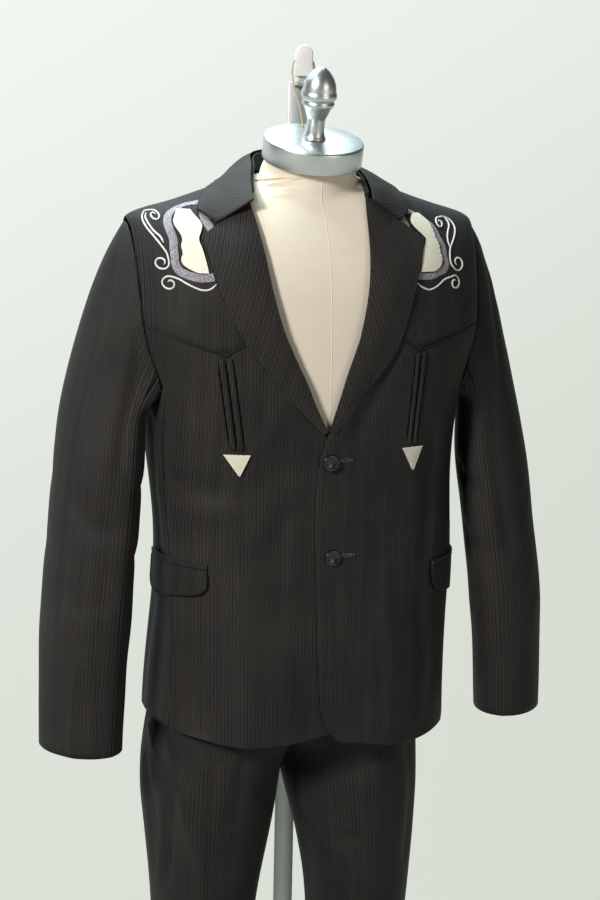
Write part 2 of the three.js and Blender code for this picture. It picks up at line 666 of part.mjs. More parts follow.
const lapelLift = (u, v) => layerGap + lapelRoll * Math.sin(Math.PI * Math.min(u * 1.3, 1)) * Math.sin(Math.PI * v);
for (const front of Object.values(fronts)) {
  const rest = front === fronts.right ? 0.4 : 0.96;
  add(`Lapel${front.name}`, sheetSolid({
    at: lapelSheet(front), us: steps(4), vs: steps(14), inside: torsoInside,
    under: (u, v) => lapelLift(u, v) + rest, over: (u, v) => lapelLift(u, v) + rest + lapelWall,
  }), suiting);
}

// the collar runs from the right gorge round the back of the neck to the left gorge
const collarRows = [
  { t: 0, creaseX: -90, creaseY: -92, creaseZ: 1563 },
  { t: 0.1, creaseX: -81, creaseY: -50, creaseZ: 1582 },
  { t: 0.22, creaseX: -70, creaseY: -12, creaseZ: 1602 },
  { t: 0.35, creaseX: -56, creaseY: 38, creaseZ: 1615 },
  { t: 0.5, creaseX: 0, creaseY: 72, creaseZ: 1619 },
  { t: 0.65, creaseX: 56, creaseY: 38, creaseZ: 1609 },
  { t: 0.78, creaseX: 68, creaseY: -14, creaseZ: 1597 },
  { t: 0.9, creaseX: 64, creaseY: -66, creaseZ: 1580 },
  { t: 1, creaseX: 58, creaseY: -99, creaseZ: 1564 },
];
const collarEdgeRows = [
  { t: 0, x: -149, z: 1547, side: -1 },
  { t: 0.1, x: -133, z: 1566, side: -1 },
  { t: 0.22, x: -112, z: 1578, side: 0 },
  { t: 0.35, x: -88, z: 1572, side: 1 },
  { t: 0.5, x: 0, z: 1572, side: 1 },
  { t: 0.65, x: 88, z: 1572, side: 1 },
  { t: 0.78, x: 108, z: 1580, side: 0 },
  { t: 0.9, x: 113, z: 1564, side: -1 },
  { t: 1, x: 114, z: 1548, side: -1 },
];
const collarLift = 3.2;       // the fall's outer edge over the shoulders
const collarWall = 2;

const creaseAt = (t) => new THREE.Vector3(
  eased(collarRows, 't', t, 'creaseX'), eased(collarRows, 't', t, 'creaseY'), eased(collarRows, 't', t, 'creaseZ'),
);
function collarEdgeAt(t) {
  const rows = collarEdgeRows.map((row) => {
    const y = row.side === 0 ? shoulderSeamY : faceY(row.x, row.z, row.side);
    const z = row.side === 0 ? ridgeZ(row.x) : row.z;
    return { t: row.t, x: row.x, y: y + row.side * collarLift, z: z + (row.side === 0 ? collarLift : 1.2) };
  });
  return new THREE.Vector3(...['x', 'y', 'z'].map((column) => eased(rows, 't', t, column)));
}

// the two ends of the fall are cut back to the notch
const notchShare = 0.68;
const notchReach = 0.1;
function notchShift(t, share) {
  const front = t < 0.5 ? fronts.right : fronts.left;
  const end = t < 0.5 ? 0 : 1;
  const straightEnd = creaseAt(end).lerp(collarEdgeAt(end), notchShare);
  const { out, z } = front.collar.notch;
  const notch = facePoint(front.sign * out, z, -1).add(new THREE.Vector3(0, -collarLift, 0));
  const tent = share < notchShare ? share / notchShare : (1 - share) / (1 - notchShare);
  const near = Math.max(0, 1 - Math.abs(t - end) / notchReach);
  return notch.sub(straightEnd).multiplyScalar(tent * near);
}

// pushes a point out until it lies a given height above the shoulders
function clearOfTorso(point, lift) {
  const heart = new THREE.Vector3(point.x * 0.7, shoulderSeamY, 1490);
  const away = point.clone().sub(heart).normalize();
  const isInside = (p) => p.z < ridgeZ(p.x) && p.y > faceY(p.x, p.z, -1) && p.y < faceY(p.x, p.z, 1);
  const moved = point.clone();
  while (isInside(moved.clone().addScaledVector(away, -lift))) moved.addScaledVector(away, 0.25);
  return moved;
}

const fallBelly = 5;
function collarFallSheet(u, v) {
  const crease = creaseAt(u);
  const point = crease.clone().lerp(collarEdgeAt(u), v);
  const away = new THREE.Vector3(crease.x, crease.y + 10, 0).normalize();
  const belly = Math.sin(Math.PI * v ** 0.7) * fallBelly * Math.sin(Math.PI * u) ** 0.5;
  point.addScaledVector(away, belly).addScaledVector(new THREE.Vector3(0, 0, 1), belly * 0.6)
    .add(notchShift(u, v));
  return clearOfTorso(point, collarLift + 1.2);
}
add('CollarFall', sheetSolid({
  at: collarFallSheet, us: steps(24), vs: [0, 0.12, 0.3, 0.5, notchShare, 0.85, 1],
  inside: new THREE.Vector3(0, 40, 1500), under: -collarWall, over: 0,
}), suiting);

// the neck seam, inside the edge of the yokes
function neckSeamAt(t) {
  const sign = t < 0.5 ? -1 : 1;
  const away = Math.abs(t - 0.5) * 2;
  const turn = 0.56;                                      // the shoulder point of the seam
  const inset = 2;
  if (away < turn) {
    const out = neckPoint.out * Math.sin((away / turn) * Math.PI / 2) - inset * (away / turn);
    return new THREE.Vector3(sign * out, faceY(out, backNeckZ(out), 1) - 1, backNeckZ(out) + 2.2);
  }
  const z = lerp(neckPoint.z, 1561, (away - turn) / (0.9 - turn));
  const out = eased((sign < 0 ? fronts.right : fronts.left).edge, 'z', z, 'out') - inset;
  return new THREE.Vector3(sign * out, faceY(out, z, -1) - 0.6, z + 2.2);
}

function collarStandSheet(u, v) {
  const t = lerp(0.06, 0.94, u);
  const crease = creaseAt(t);
  const inward = new THREE.Vector3(crease.x, crease.y + 10, 0).normalize().multiplyScalar(-2.8);
  const top = crease.add(inward).add(new THREE.Vector3(0, 0, -2.5));
  return top.lerp(neckSeamAt(t), v);
}
add('CollarStand', sheetSolid({
  at: collarStandSheet, us: steps(18), vs: steps(2), inside: new THREE.Vector3(0, 0, 1600),
  under: -1.6, over: 0,
}), suiting);

// ---------------------------------------------------------------- pockets, tucks and ornament
const flap = { back: -3, backDepth: 47, wall: 2, corner: 0.22, rest: 0.3 };
const welt = { height: 6, wall: 2.4 };
for (const front of Object.values(fronts)) {
  const { pocket } = front;
  const angleAt = (u) => degToRad(lerp(pocket.front, flap.back, u));
  const rest = layerGap + flap.rest;
  add(`PocketWelt${front.name}`, sheetSolid({
    at: (u, v) => flankPoint(front.sign, angleAt(u), pocket.z + 0.6 + welt.height * v),
    us: steps(8), vs: steps(1), inside: torsoInside, under: rest, over: rest + welt.wall,
  }), suiting);
  add(`PocketFlap${front.name}`, sheetSolid({
    at: (u, v) => {
      const deep = lerp(pocket.depth, flap.backDepth, smoothstep(u, 0, 1));
      const round = Math.min(u, 1 - u, flap.corner) / flap.corner;
      const depth = deep * lerp(pocket.square, 1, Math.sqrt(1 - (1 - round) ** 2));
      return flankPoint(front.sign, angleAt(u), pocket.z - depth * v);
    },
    us: [0, 0.03, 0.09, 0.2, 0.35, 0.5, 0.65, 0.8, 0.91, 0.97, 1], vs: steps(3), inside: torsoInside,
    under: (u, v) => rest + 1.2 * v, over: (u, v) => rest + 1.2 * v + flap.wall,
  }), suiting);
}

const tuck = { width: 6, height: 2.4, top: -5, foot: 1267 };
for (const front of Object.values(fronts)) {
  front.tucks.forEach((place, i) => {
    const topZ = (out) => yokeZ(front, out) + tuck.top;
    add(`ChestTuck${front.name}${i + 1}`, sheetSolid({
      at: (u, v) => {
        const z = lerp(topZ(place.top), tuck.foot, v);
        const out = lerp(place.top, place.foot, v) + (u - 0.5) * tuck.width;
        return facePoint(front.sign * out, z, -1);
      },
      us: steps(2), vs: steps(8), inside: torsoInside,
      under: layerGap, over: (u) => layerGap + lerp(0.8, tuck.height, Math.sin(Math.PI * u)),
    }), suiting);
  });

  const { arrow } = front;
  add(`Arrowhead${front.name}`, sheetSolid({
    at: (u, v) => {
      const z = lerp(arrow.top, arrow.foot, v);
      const out = lerp(lerp(arrow.left, arrow.right, u), arrow.tip, v * 0.94);
      return facePoint(front.sign * out, z, -1);
    },
    us: steps(4), vs: steps(4), inside: torsoInside, under: layerGap, over: layerGap + 1.6,
  }), cream);

  const rows = front.applique;
  const lowZ = rows[0].z;
  const highZ = rows[rows.length - 1].z;
  add(`ShoulderApplique${front.name}`, sheetSolid({
    at: (u, v) => {
      const z = lerp(lowZ, highZ, v);
      return facePoint(front.sign * lerp(eased(rows, 'z', z, 'inner'), eased(rows, 'z', z, 'outer'), u), z, -1);
    },
    us: steps(4), vs: steps(14), inside: torsoInside, under: layerGap, over: layerGap + 1.2,
  }), cream);
}

const button = { radius: 10, height: 3.6, rim: 1.1, dish: 0.8 };
for (const [i, place] of [{ x: 0, z: 1250 }, { x: 5, z: 1132 }].entries()) {
  const profile = [
    [0, 0], [button.radius - 1, 0], [button.radius, 1], [button.radius, button.height - button.rim],
    [button.radius - button.rim, button.height], [button.radius - 2.6, button.height],
    [button.radius - 3.4, button.height - button.dish], [0, button.height - button.dish],
  ].map(([r, h]) => new THREE.Vector2(r, h));
  const mesh = add(`Button${i + 1}`, new THREE.LatheGeometry(profile, 14), blackPlastic);
  mesh.position.set(place.x, faceY(place.x, place.z, -1) - layerGap, place.z);
  mesh.rotation.x = Math.PI;
}

// ---------------------------------------------------------------- trousers
const seatAt = (z, column) => eased(seatRows, 'z', z, column);
const legAt = (z, column) => eased(legRows, 'z', z, column);

// one panel: u runs from the outseam to the centre seam and inseam, v up from the hem
function trouserSheet(sign, side) {
  return (u, v) => {
    const z = lerp(trouserHem, waistSeam, v);
    const clear = sideGap / 2;
    const whole = smoothstep(z, crotchZ, forkTop);
    const legAngle = lerp(0.002, 0.998, u) * Math.PI;
    const leg = new THREE.Vector3(
      legAt(z, 'out') + legAt(z, 'halfWidth') * Math.cos(legAngle),
      legAt(z, 'y') + side * (legAt(z, 'halfDepth') * Math.sin(legAngle) + clear),
      z,
    );
    const seatAngle = lerp(0.002, 0.998, u) * Math.PI / 2;
    const seat = new THREE.Vector3(
      Math.max(seatAt(z, 'halfWidth') * Math.cos(seatAngle) ** 0.9, clear),
      seatY + side * (seatAt(z, side < 0 ? 'front' : 'back') * Math.sin(seatAngle) ** 0.9 + clear),
      z,
    );
    const point = leg.lerp(seat, whole);
    point.x = sign * Math.max(point.x, clear) - eased(swingRows, 'z', z, 'right');
    return point;
  };
}

const trouserLevels = [
  0, 0.04, 0.09, 0.16, 0.25, 0.34, 0.42, 0.47, 0.52, 0.57, 0.61, 0.65, 0.69, 0.72, 0.75, 0.785, 0.815, 0.845,
  0.88, 0.94, 1,
];
const legSize = { width: 215, length: 1020 };
const legFolds = {
  FrontRight: [
    { u: 0.04, v: 0.83, u2: 0.34, v2: 0.735, width: 20, height: 5 },
    { u: 0.34, v: 0.735, u2: 0.46, v2: 0.63, width: 19, height: 4.4 },
    { u: 0.1, v: 0.76, u2: 0.33, v2: 0.66, width: 17, height: -5 },
    { u: 0.62, v: 0.79, u2: 0.9, v2: 0.75, width: 15, height: -3.6 },
    { u: 0.22, v: 0.47, u2: 0.66, v2: 0.51, width: 22, height: -4 },
    { u: 0.24, v: 0.07, u2: 0.74, v2: 0.045, width: 18, height: -3.4 },
  ],
  FrontLeft: [
    { u: 0.3, v: 0.8, u2: 0.72, v2: 0.73, width: 19, height: -4 },
    { u: 0.5, v: 0.85, u2: 0.9, v2: 0.78, width: 17, height: -4 },
    { u: 0.42, v: 0.7, u2: 0.5, v2: 0.56, width: 18, height: 3.4 },
    { u: 0.26, v: 0.44, u2: 0.7, v2: 0.48, width: 21, height: -4 },
    { u: 0.3, v: 0.05, u2: 0.8, v2: 0.075, width: 18, height: -3.4 },
  ],
  BackRight: [
    { u: 0.14, v: 0.8, u2: 0.8, v2: 0.73, width: 20, height: -5 },
    { u: 0.3, v: 0.7, u2: 0.84, v2: 0.66, width: 17, height: -3.6 },
    { u: 0.24, v: 0.5, u2: 0.72, v2: 0.46, width: 22, height: -4.4 },
    { u: 0.3, v: 0.09, u2: 0.76, v2: 0.06, width: 18, height: -3.4 },
  ],
  BackLeft: [
    { u: 0.16, v: 0.82, u2: 0.78, v2: 0.75, width: 19, height: -5 },
    { u: 0.26, v: 0.71, u2: 0.8, v2: 0.68, width: 18, height: -3.4 },
    { u: 0.2, v: 0.47, u2: 0.7, v2: 0.5, width: 22, height: -4.2 },
    { u: 0.26, v: 0.06, u2: 0.72, v2: 0.085, width: 18, height: -3.4 },
  ],
};
for (const [name, sign] of [['Right', -1], ['Left', 1]]) {
  for (const [face, side] of [['Front', -1], ['Back', 1]]) {
    add(`Trouser${face}${name}`, sheetSolid({
      at: trouserSheet(sign, side), us: steps(8), vs: trouserLevels,
      inside: new THREE.Vector3(sign * 105, 15, 560), ...folded(legFolds[`${face}${name}`], legSize),
    }), suiting);
  }
  add(`Waistband${name}`, sheetSolid({
    at: (u, v) => {
      const z = lerp(waistSeam + seamGap, waistTop, v);
      const angle = lerp(-0.497, 0.497, u) * Math.PI;
      const depth = seatAt(z, angle < 0 ? 'front' : 'back');
      const y = seatY + Math.sign(angle) * depth * Math.abs(Math.sin(angle)) ** 0.9;
      return new THREE.Vector3(sign * seatAt(z, 'halfWidth') * Math.cos(angle) ** 0.9, y, z);
    },
    us: steps(16), vs: steps(1), inside: new THREE.Vector3(0, seatY, waistSeam),
  }), suiting);
}

// ---------------------------------------------------------------- dress form
const formFoot = 924;
const formSeatInset = 5.5;
const formSeatRest = 1.8;                                // fuller in the middle, where the waistband rests
const neckRadius = 57;
function formOut(z) {
  const rows = ridgeRows.slice(1).map((row) => ({ out: row.out, z: row.z - formInset.shoulder })).reverse();
  return eased(rows, 'z', z, 'out');
}
function formRing(z) {
  const half = steps(12).map((share) => -Math.cos(share * Math.PI));
  const low = 1 - smoothstep(z, waistTop + 10, waistTop + 60);
  const inset = lerp(formInset.body, formInset.shoulder, smoothstep(z, 1440, 1540));
  const widthOn = (sign) => Math.min(halfWidthAt(sign, Math.min(z, bladeTop)) - inset, formHalfWidth, formOut(z));
  const seatWidth = seatAt(z, 'halfWidth') - formSeatInset;
  const point = (share, side) => {
    const x = widthOn(Math.sign(share)) * share;
    let y = faceY(x, z, side, inset + (side > 0 ? formInset.nape * smoothstep(z, 1525, 1560) : 0));
    if (z > 1560 && Math.abs(x) < neckRadius + 3) {
      const neckY = -17 + side * Math.sqrt((neckRadius + 3) ** 2 - x ** 2);
      y = side < 0 ? Math.min(y, neckY) : Math.max(y, neckY);
    }
    y = side < 0 ? Math.min(y, shoulderSeamY - 3) : Math.max(y, shoulderSeamY + 3);
    const depth = seatAt(z, side < 0 ? 'front' : 'back') - formSeatInset;
    const seatFace = seatY + side * (depth * Math.sqrt(Math.max(1 - share ** 2, 0)) ** 0.9 + formSeatRest);
    return new THREE.Vector3(lerp(x, seatWidth * share, low), lerp(y, seatFace, low), z);
  };
  return [...half.map((share) => point(share, -1)), ...half.map((share) => point(-share, 1))];
}
function neckRing({ y, z, tilt, radius }) {
  const lean = degToRad(tilt);
  const half = steps(12).map((share) => Math.PI * (1 - share));
  const point = (angle, side) => {
    const sideways = radius * Math.cos(angle);
    const along = side * Math.max(radius * Math.sin(angle), 1.5);
    return new THREE.Vector3(sideways, y + along * Math.cos(lean), z + along * Math.sin(lean));
  };
  return [...half.map((angle) => point(angle, -1)), ...half.map((angle) => point(Math.PI - angle, 1))];
}
const capLean = degToRad(capTilt);
const capAxis = new THREE.Vector3(0, -Math.sin(capLean), Math.cos(capLean));
const capFoot = new THREE.Vector3(0, cap.y, cap.z).addScaledVector(capAxis, -cap.height - seamGap);
add('DressForm', loftSolid([
  ...[formFoot, 980, 1050, 1098, 1123, 1150, 1190, 1250, 1310, 1355, 1400, 1440, 1475, 1503, 1523, 1537,
    1547, 1555, 1563, 1570, 1576, 1582].map(formRing),
  neckRing({ y: -17, z: 1589, tilt: 3, radius: 60.5 }),
  neckRing({ y: -20, z: 1597, tilt: 7, radius: 59 }),
  neckRing({ y: -26, z: 1602, tilt: 12, radius: 57.5 }),
  neckRing({ y: capFoot.y, z: capFoot.z, tilt: capTilt, radius: neckRadius }),
]), canvas);

const capGroup = new THREE.Group();
capGroup.position.copy(capFoot).addScaledVector(capAxis, seamGap);
capGroup.rotation.x = Math.PI / 2 + capLean;
suit.add(capGroup);
const lathe = (profile, segments) => new THREE.LatheGeometry(
  profile.map(([r, h]) => new THREE.Vector2(r, h)), segments,
);
add('NeckCap', lathe([
  [0, 0], [cap.radius - 1.5, 0], [cap.radius, 1.5], [cap.radius, cap.height - cap.edge],
  [cap.radius - 1, cap.height - 0.8], [cap.radius - cap.edge, cap.height], [0, cap.height],
], 32), steel, capGroup);
const knob = add('Knob', lathe([
  [0, 0], [14, 0], [14, 2.5], [12, 6], [10.8, 16], [12, 28], [15, 37], [18.5, 41], [20, 44.5], [18.6, 48],
  [21.4, 51], [22, 54.5], [20.6, 59], [20, 64], [17.6, 72], [12.5, 80], [6, 86], [0, 88],
], 16), steel, capGroup);
knob.position.y = cap.height + seamGap;

// ---------------------------------------------------------------- stand
const standGroup = new THREE.Group();
standGroup.position.set(hookAt.x, hookAt.y, 0);
standGroup.rotation.z = degToRad(standTurn);
suit.add(standGroup);
// inside the group the arm runs along -Y from the upright to the hook at its origin
const base = add('StandBase', new THREE.CylinderGeometry(
  baseDisc.radius - 2, baseDisc.radius, baseDisc.height, 56,
), steel);
base.rotation.x = Math.PI / 2;
base.position.set(0, baseDisc.y, baseDisc.height / 2);
const uprightTop = arm.z + arm.thick;
const upright = add('StandUpright', new THREE.BoxGeometry(
  bar.width, bar.depth, uprightTop - baseDisc.height - seamGap,
), steel, standGroup);
upright.position.set(0, armLength + bar.depth / 2, (uprightTop + baseDisc.height + seamGap) / 2);

const armProfile = new THREE.Shape([
  [-arm.thick / 2, 0], [armLength - seamGap, 0], [armLength - seamGap, arm.thick],
  [loopSeat.to, arm.thick], [loopSeat.to, loopSeat.height], [loopSeat.from, loopSeat.height],
  [loopSeat.from, arm.thick], [arm.thick / 2, arm.thick], [arm.thick / 2, arm.rise], [-arm.thick / 2, arm.rise],
].map(([along, up]) => new THREE.Vector2(along, up)));
const hookArm = add('HookArm', new THREE.ExtrudeGeometry(armProfile, { depth: arm.width, bevelEnabled: false }),
  steel, standGroup);
hookArm.quaternion.setFromRotationMatrix(new THREE.Matrix4().makeBasis(
  new THREE.Vector3(0, 1, 0), new THREE.Vector3(0, 0, 1), new THREE.Vector3(1, 0, 0),
));
hookArm.position.set(-arm.width / 2, 0, arm.z);

const tipShape = new THREE.Shape();
const tipHalf = hookTip.width / 2;
tipShape.moveTo(-tipHalf, 0);
tipShape.lineTo(tipHalf, 0);
tipShape.lineTo(tipHalf, hookTip.height - tipHalf);
tipShape.absarc(0, hookTip.height - tipHalf, tipHalf, 0, Math.PI, false);
const tip = add('HookTip', new THREE.ExtrudeGeometry(tipShape, {
  depth: hookTip.depth - 4, bevelThickness: 2, bevelSize: 1.5, bevelOffset: -1.5, bevelSegments: 2, curveSegments: 10,
}), whitePlastic, standGroup);
tip.rotation.x = Math.PI / 2;
tip.position.set(0, hookTip.depth / 2 - 4, arm.z + arm.rise + seamGap);

// the loop that the form hangs by, from the back of the cap over the arm's tongue
const wireRadius = 1.1;
const loopFoot = new THREE.Vector3(0, cap.y, cap.z).addScaledVector(capAxis, wireRadius)
  .add(new THREE.Vector3(0, 40 * Math.cos(capLean), 40 * Math.sin(capLean)));
const loopRise = arm.z + loopSeat.height + seamGap + wireRadius - loopFoot.z;
const seatTurn = degToRad(standTurn);
const seatMiddle = (loopSeat.from + loopSeat.to) / 2;
const loopHead = { x: hookAt.x - seatMiddle * Math.sin(seatTurn), y: hookAt.y + seatMiddle * Math.cos(seatTurn) };
const loopRows = [
  { side: 2.2, share: 0 }, { side: 6, share: 0.26 }, { side: 12.5, share: 0.54 }, { side: 14.5, share: 0.77 },
  { side: 12.8, share: 0.94 }, { side: 8.6, share: 1 }, { side: 0, share: 1 },
];
const loopPath = new THREE.CatmullRomCurve3([
  ...loopRows, ...loopRows.slice(0, -1).reverse().map((row) => ({ side: -row.side, share: row.share })),
].map(({ side, share }) => new THREE.Vector3(
  side + lerp(loopFoot.x, loopHead.x, smoothstep(share, 0, 0.8)),
  lerp(loopFoot.y, loopHead.y, smoothstep(share, 0.05, 0.85)),
  loopFoot.z + loopRise * share,
)));
const wire = new THREE.Shape();
wire.absarc(0, 0, wireRadius, 0, 2 * Math.PI, false);
add('HangingLoop', new THREE.ExtrudeGeometry(wire, { steps: 26, curveSegments: 3, extrudePath: loopPath }), brass);

export default suit;
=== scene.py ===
# Western suit on a limbless dress form: cloth, embroidery, buttons, form and stand.
# Metres, +Z up, the suit's front towards -Y and the wearer's right towards -X.
# Sizes in the dictionaries are in millimetres, unless the note above them says metres.
import math
import bpy
import bmesh
from mathutils import Matrix, Vector, noise
from mathutils.bvhtree import BVHTree
from mathutils.kdtree import KDTree


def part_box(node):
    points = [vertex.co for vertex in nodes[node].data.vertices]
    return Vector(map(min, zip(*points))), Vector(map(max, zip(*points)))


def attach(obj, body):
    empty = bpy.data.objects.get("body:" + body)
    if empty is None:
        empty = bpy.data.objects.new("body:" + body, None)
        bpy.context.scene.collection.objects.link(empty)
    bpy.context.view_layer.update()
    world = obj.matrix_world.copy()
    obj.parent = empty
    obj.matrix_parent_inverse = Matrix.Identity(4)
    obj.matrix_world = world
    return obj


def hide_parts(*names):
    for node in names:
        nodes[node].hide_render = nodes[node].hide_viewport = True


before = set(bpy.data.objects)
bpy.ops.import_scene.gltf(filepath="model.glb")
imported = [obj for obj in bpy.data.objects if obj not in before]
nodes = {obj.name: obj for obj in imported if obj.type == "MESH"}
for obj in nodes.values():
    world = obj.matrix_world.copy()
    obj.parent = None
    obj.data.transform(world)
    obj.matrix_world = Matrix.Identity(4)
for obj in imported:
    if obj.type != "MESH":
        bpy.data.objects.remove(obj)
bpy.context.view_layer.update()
scene = bpy.context.scene
mm = 0.001
print("frame loaded:", len(nodes), "nodes")

# the camera, in degrees and millimetres
camera = {"azimuth": -17.5, "elevation": 11, "roll": 1.2, "distance": 2200, "target": (3, 0, 1240),
          "lens": 68.76}


def addObject(name, data):
    made = bpy.data.objects.new(name, data)
    scene.collection.objects.link(made)
    return made


def meshOf(name, shape):
    mesh = bpy.data.meshes.new(name)
    shape.to_mesh(mesh)
    shape.free()
    return mesh


def placeCamera():
    a, e, r = (math.radians(camera[k]) for k in ("azimuth", "elevation", "roll"))
    back = Vector((math.sin(a) * math.cos(e), -math.cos(a) * math.cos(e), math.sin(e)))
    right = Vector((math.cos(a), math.sin(a), 0))
    up = back.cross(right)
    sideways = right * math.cos(r) + up * math.sin(r)
    upward = up * math.cos(r) - right * math.sin(r)
    data = bpy.data.cameras.new("camera")
    data.sensor_fit = "VERTICAL"
    data.sensor_height = 36
    data.lens = camera["lens"]
    data.clip_start, data.clip_end = 0.05, 60
    place = Vector(camera["target"]) * mm + back * camera["distance"] * mm
    scene.camera = addObject("camera", data)
    scene.camera.matrix_world = Matrix.Translation(place) @ \
        Matrix((sideways, upward, back)).transposed().to_4x4()


placeCamera()


# finishes
def newFinish(name, colour, roughness, metallic=0.0, **sockets):
    made = bpy.data.materials.new(name)
    made.use_nodes = True
    tree = made.node_tree
    shader = tree.nodes["Principled BSDF"]
    shader.inputs["Base Color"].default_value = (*colour, 1)
    shader.inputs["Roughness"].default_value = roughness
    shader.inputs["Metallic"].default_value = metallic
    for socket, value in sockets.items():
        shader.inputs[socket.replace("_", " ")].default_value = value
    return made, tree, shader


def node(tree, kind, **settings):
    made = tree.nodes.new(kind)
    for key, value in settings.items():
        if key in made.inputs:
            made.inputs[key].default_value = value
        else:
            setattr(made, key, value)
    return made


def wire(tree, *pairs):
    for out, into in pairs:
        tree.links.new(out, into)


def math2(tree, operation, a, b):
    made = node(tree, "ShaderNodeMath", operation=operation)
    for socket, value in zip(made.inputs, (a, b)):
        if isinstance(value, (int, float)):
            socket.default_value = value
        else:
            tree.links.new(value, socket)
    return made.outputs[0]


def times(tree, a, b):
    return math2(tree, "MULTIPLY", a, b)


def plus(tree, a, b):
    return math2(tree, "ADD", a, b)


def blend2(tree, share, low, high):
    made = node(tree, "ShaderNodeMix", data_type="RGBA")
    for socket, value in ((made.inputs[0], share), (made.inputs[6], low), (made.inputs[7], high)):
        if isinstance(value, bpy.types.NodeSocket):
            tree.links.new(value, socket)
        else:
            socket.default_value = value if isinstance(value, (int, float)) else (*value, 1)
    return made.outputs[2]


def mapped(tree, coords, stretch):
    mapping = node(tree, "ShaderNodeMapping", Scale=stretch)
    wire(tree, (coords, mapping.inputs[0]))
    return mapping.outputs[0]


def grainCoords(tree, stretch=(1, 1, 1)):
    return mapped(tree, node(tree, "ShaderNodeUVMap", uv_map="grain").outputs[0], stretch)


def solidCoords(tree, stretch=(1, 1, 1)):
    return mapped(tree, node(tree, "ShaderNodeTexCoord").outputs["Object"], stretch)


def waves(tree, direction, scale, distortion):
    return node(tree, "ShaderNodeTexWave", wave_type="BANDS", bands_direction=direction, Scale=scale,
                Distortion=distortion)


def clouds(tree, scale, detail):
    return node(tree, "ShaderNodeTexNoise", Scale=scale, Detail=detail)


def relief(tree, shader, height, strength, depth):
    bump = node(tree, "ShaderNodeBump", Strength=strength, Distance=depth * mm)
    wire(tree, (height, bump.inputs["Height"]), (bump.outputs[0], shader.inputs["Normal"]))


# the suiting: ribs, broader bands and slubs along v, then a cloudy painted shade over all of it
suitingLook = {"valley": (0.0016, 0.0015, 0.0016), "rib": (0.0450, 0.0408, 0.0384), "roughness": 0.66,
               "sheen": 0.02, "sheenRoughness": 0.5, "sheenTint": (0.60, 0.86, 0.92), "bump": 0.5,
               "ribShare": 0.5, "bandPitch": 0.58, "bandShare": 0.2, "groupWeight": 2.0, "slubShare": 0.2,
               "contrast": 1.35, "base": 0.42, "clouds": 0.86}


def suitingFinish(name, pitch, bright=1.0):
    made, tree, shader = newFinish(name, suitingLook["rib"], suitingLook["roughness"],
                                   Sheen_Weight=suitingLook["sheen"],
                                   Sheen_Roughness=suitingLook["sheenRoughness"],
                                   Sheen_Tint=(*suitingLook["sheenTint"], 1), Specular_IOR_Level=0.12)
    coords = grainCoords(tree)
    perMetre = 2 * math.pi / (20 * pitch * mm)
    ribs = waves(tree, "X", perMetre, 0.5)
    ribs.inputs["Detail"].default_value, ribs.inputs["Detail Scale"].default_value = 1.0, 0.35
    broad = waves(tree, "X", perMetre * suitingLook["bandPitch"], 1.6)
    broad.inputs["Detail"].default_value = 1.0
    groups = clouds(tree, 85, 2)
    cloudy = clouds(tree, 9, 3)
    slubs = clouds(tree, 620, 2)
    wire(tree, (coords, ribs.inputs[0]), (coords, broad.inputs[0]),
         (grainCoords(tree, (1, 0.035, 1)), groups.inputs[0]), (coords, cloudy.inputs[0]),
         (grainCoords(tree, (1, 0.3, 1)), slubs.inputs[0]))
    bands = plus(tree, broad.outputs[1], times(tree, groups.outputs[0], suitingLook["groupWeight"]))
    mixed = plus(tree, times(tree, ribs.outputs[1], suitingLook["ribShare"]),
                 times(tree, bands, suitingLook["bandShare"]))
    slubbed = plus(tree, mixed, times(tree, slubs.outputs[0], suitingLook["slubShare"]))
    threads = math2(tree, "POWER", slubbed, suitingLook["contrast"])
    # partly the cloth's own uneven tone, partly painted shade: broad light and dark patches standing in for
    # the drape
    uneven = times(tree, cloudy.outputs[0], suitingLook["clouds"] * bright)
    shade = times(tree, threads, plus(tree, suitingLook["base"] * bright, uneven))
    wire(tree, (blend2(tree, shade, suitingLook["valley"], suitingLook["rib"]), shader.inputs["Base Color"]))
    relief(tree, shader, threads, suitingLook["bump"], 0.35)
    wire(tree, (plus(tree, 0.52, times(tree, threads, 0.25)), shader.inputs["Roughness"]))
    return made


def wovenFinish(name, colour, shadow, scale, roughness=0.85, strength=0.35, sheen=0.15):
    made, tree, shader = newFinish(name, colour, roughness, Sheen_Weight=sheen)
    coords = solidCoords(tree)
    warp, weft = waves(tree, "X", scale, 1.2), waves(tree, "Z", scale, 1.2)
    cloudy = clouds(tree, 26, 4)
    wire(tree, *((coords, n.inputs[0]) for n in (warp, weft, cloudy)))
    weave = times(tree, warp.outputs[1], weft.outputs[1])
    share = plus(tree, times(tree, weave, 0.4), times(tree, cloudy.outputs[0], 0.6))
    wire(tree, (blend2(tree, share, shadow, colour), shader.inputs["Base Color"]))
    relief(tree, shader, share, strength, 0.3)
    return made


def threadFinish(name, light, dark, scale):
    made, tree, shader = newFinish(name, light, 0.6, Sheen_Weight=0.3)
    coords = solidCoords(tree)
    cells = node(tree, "ShaderNodeTexVoronoi", Scale=scale, Randomness=1.0)
    grain = clouds(tree, scale * 1.7, 2)
    wire(tree, (coords, cells.inputs[0]), (coords, grain.inputs[0]))
    share = node(tree, "ShaderNodeMapRange")
    share.inputs["From Min"].default_value, share.inputs["From Max"].default_value = 0.36, 0.66
    stitches = plus(tree, times(tree, cells.outputs["Distance"], 0.45), times(tree, grain.outputs[0], 0.7))
    wire(tree, (stitches, share.inputs[0]))
    wire(tree, (blend2(tree, share.outputs[0], dark, light), shader.inputs["Base Color"]))
    relief(tree, shader, share.outputs[0], 0.6, 0.4)
    return made


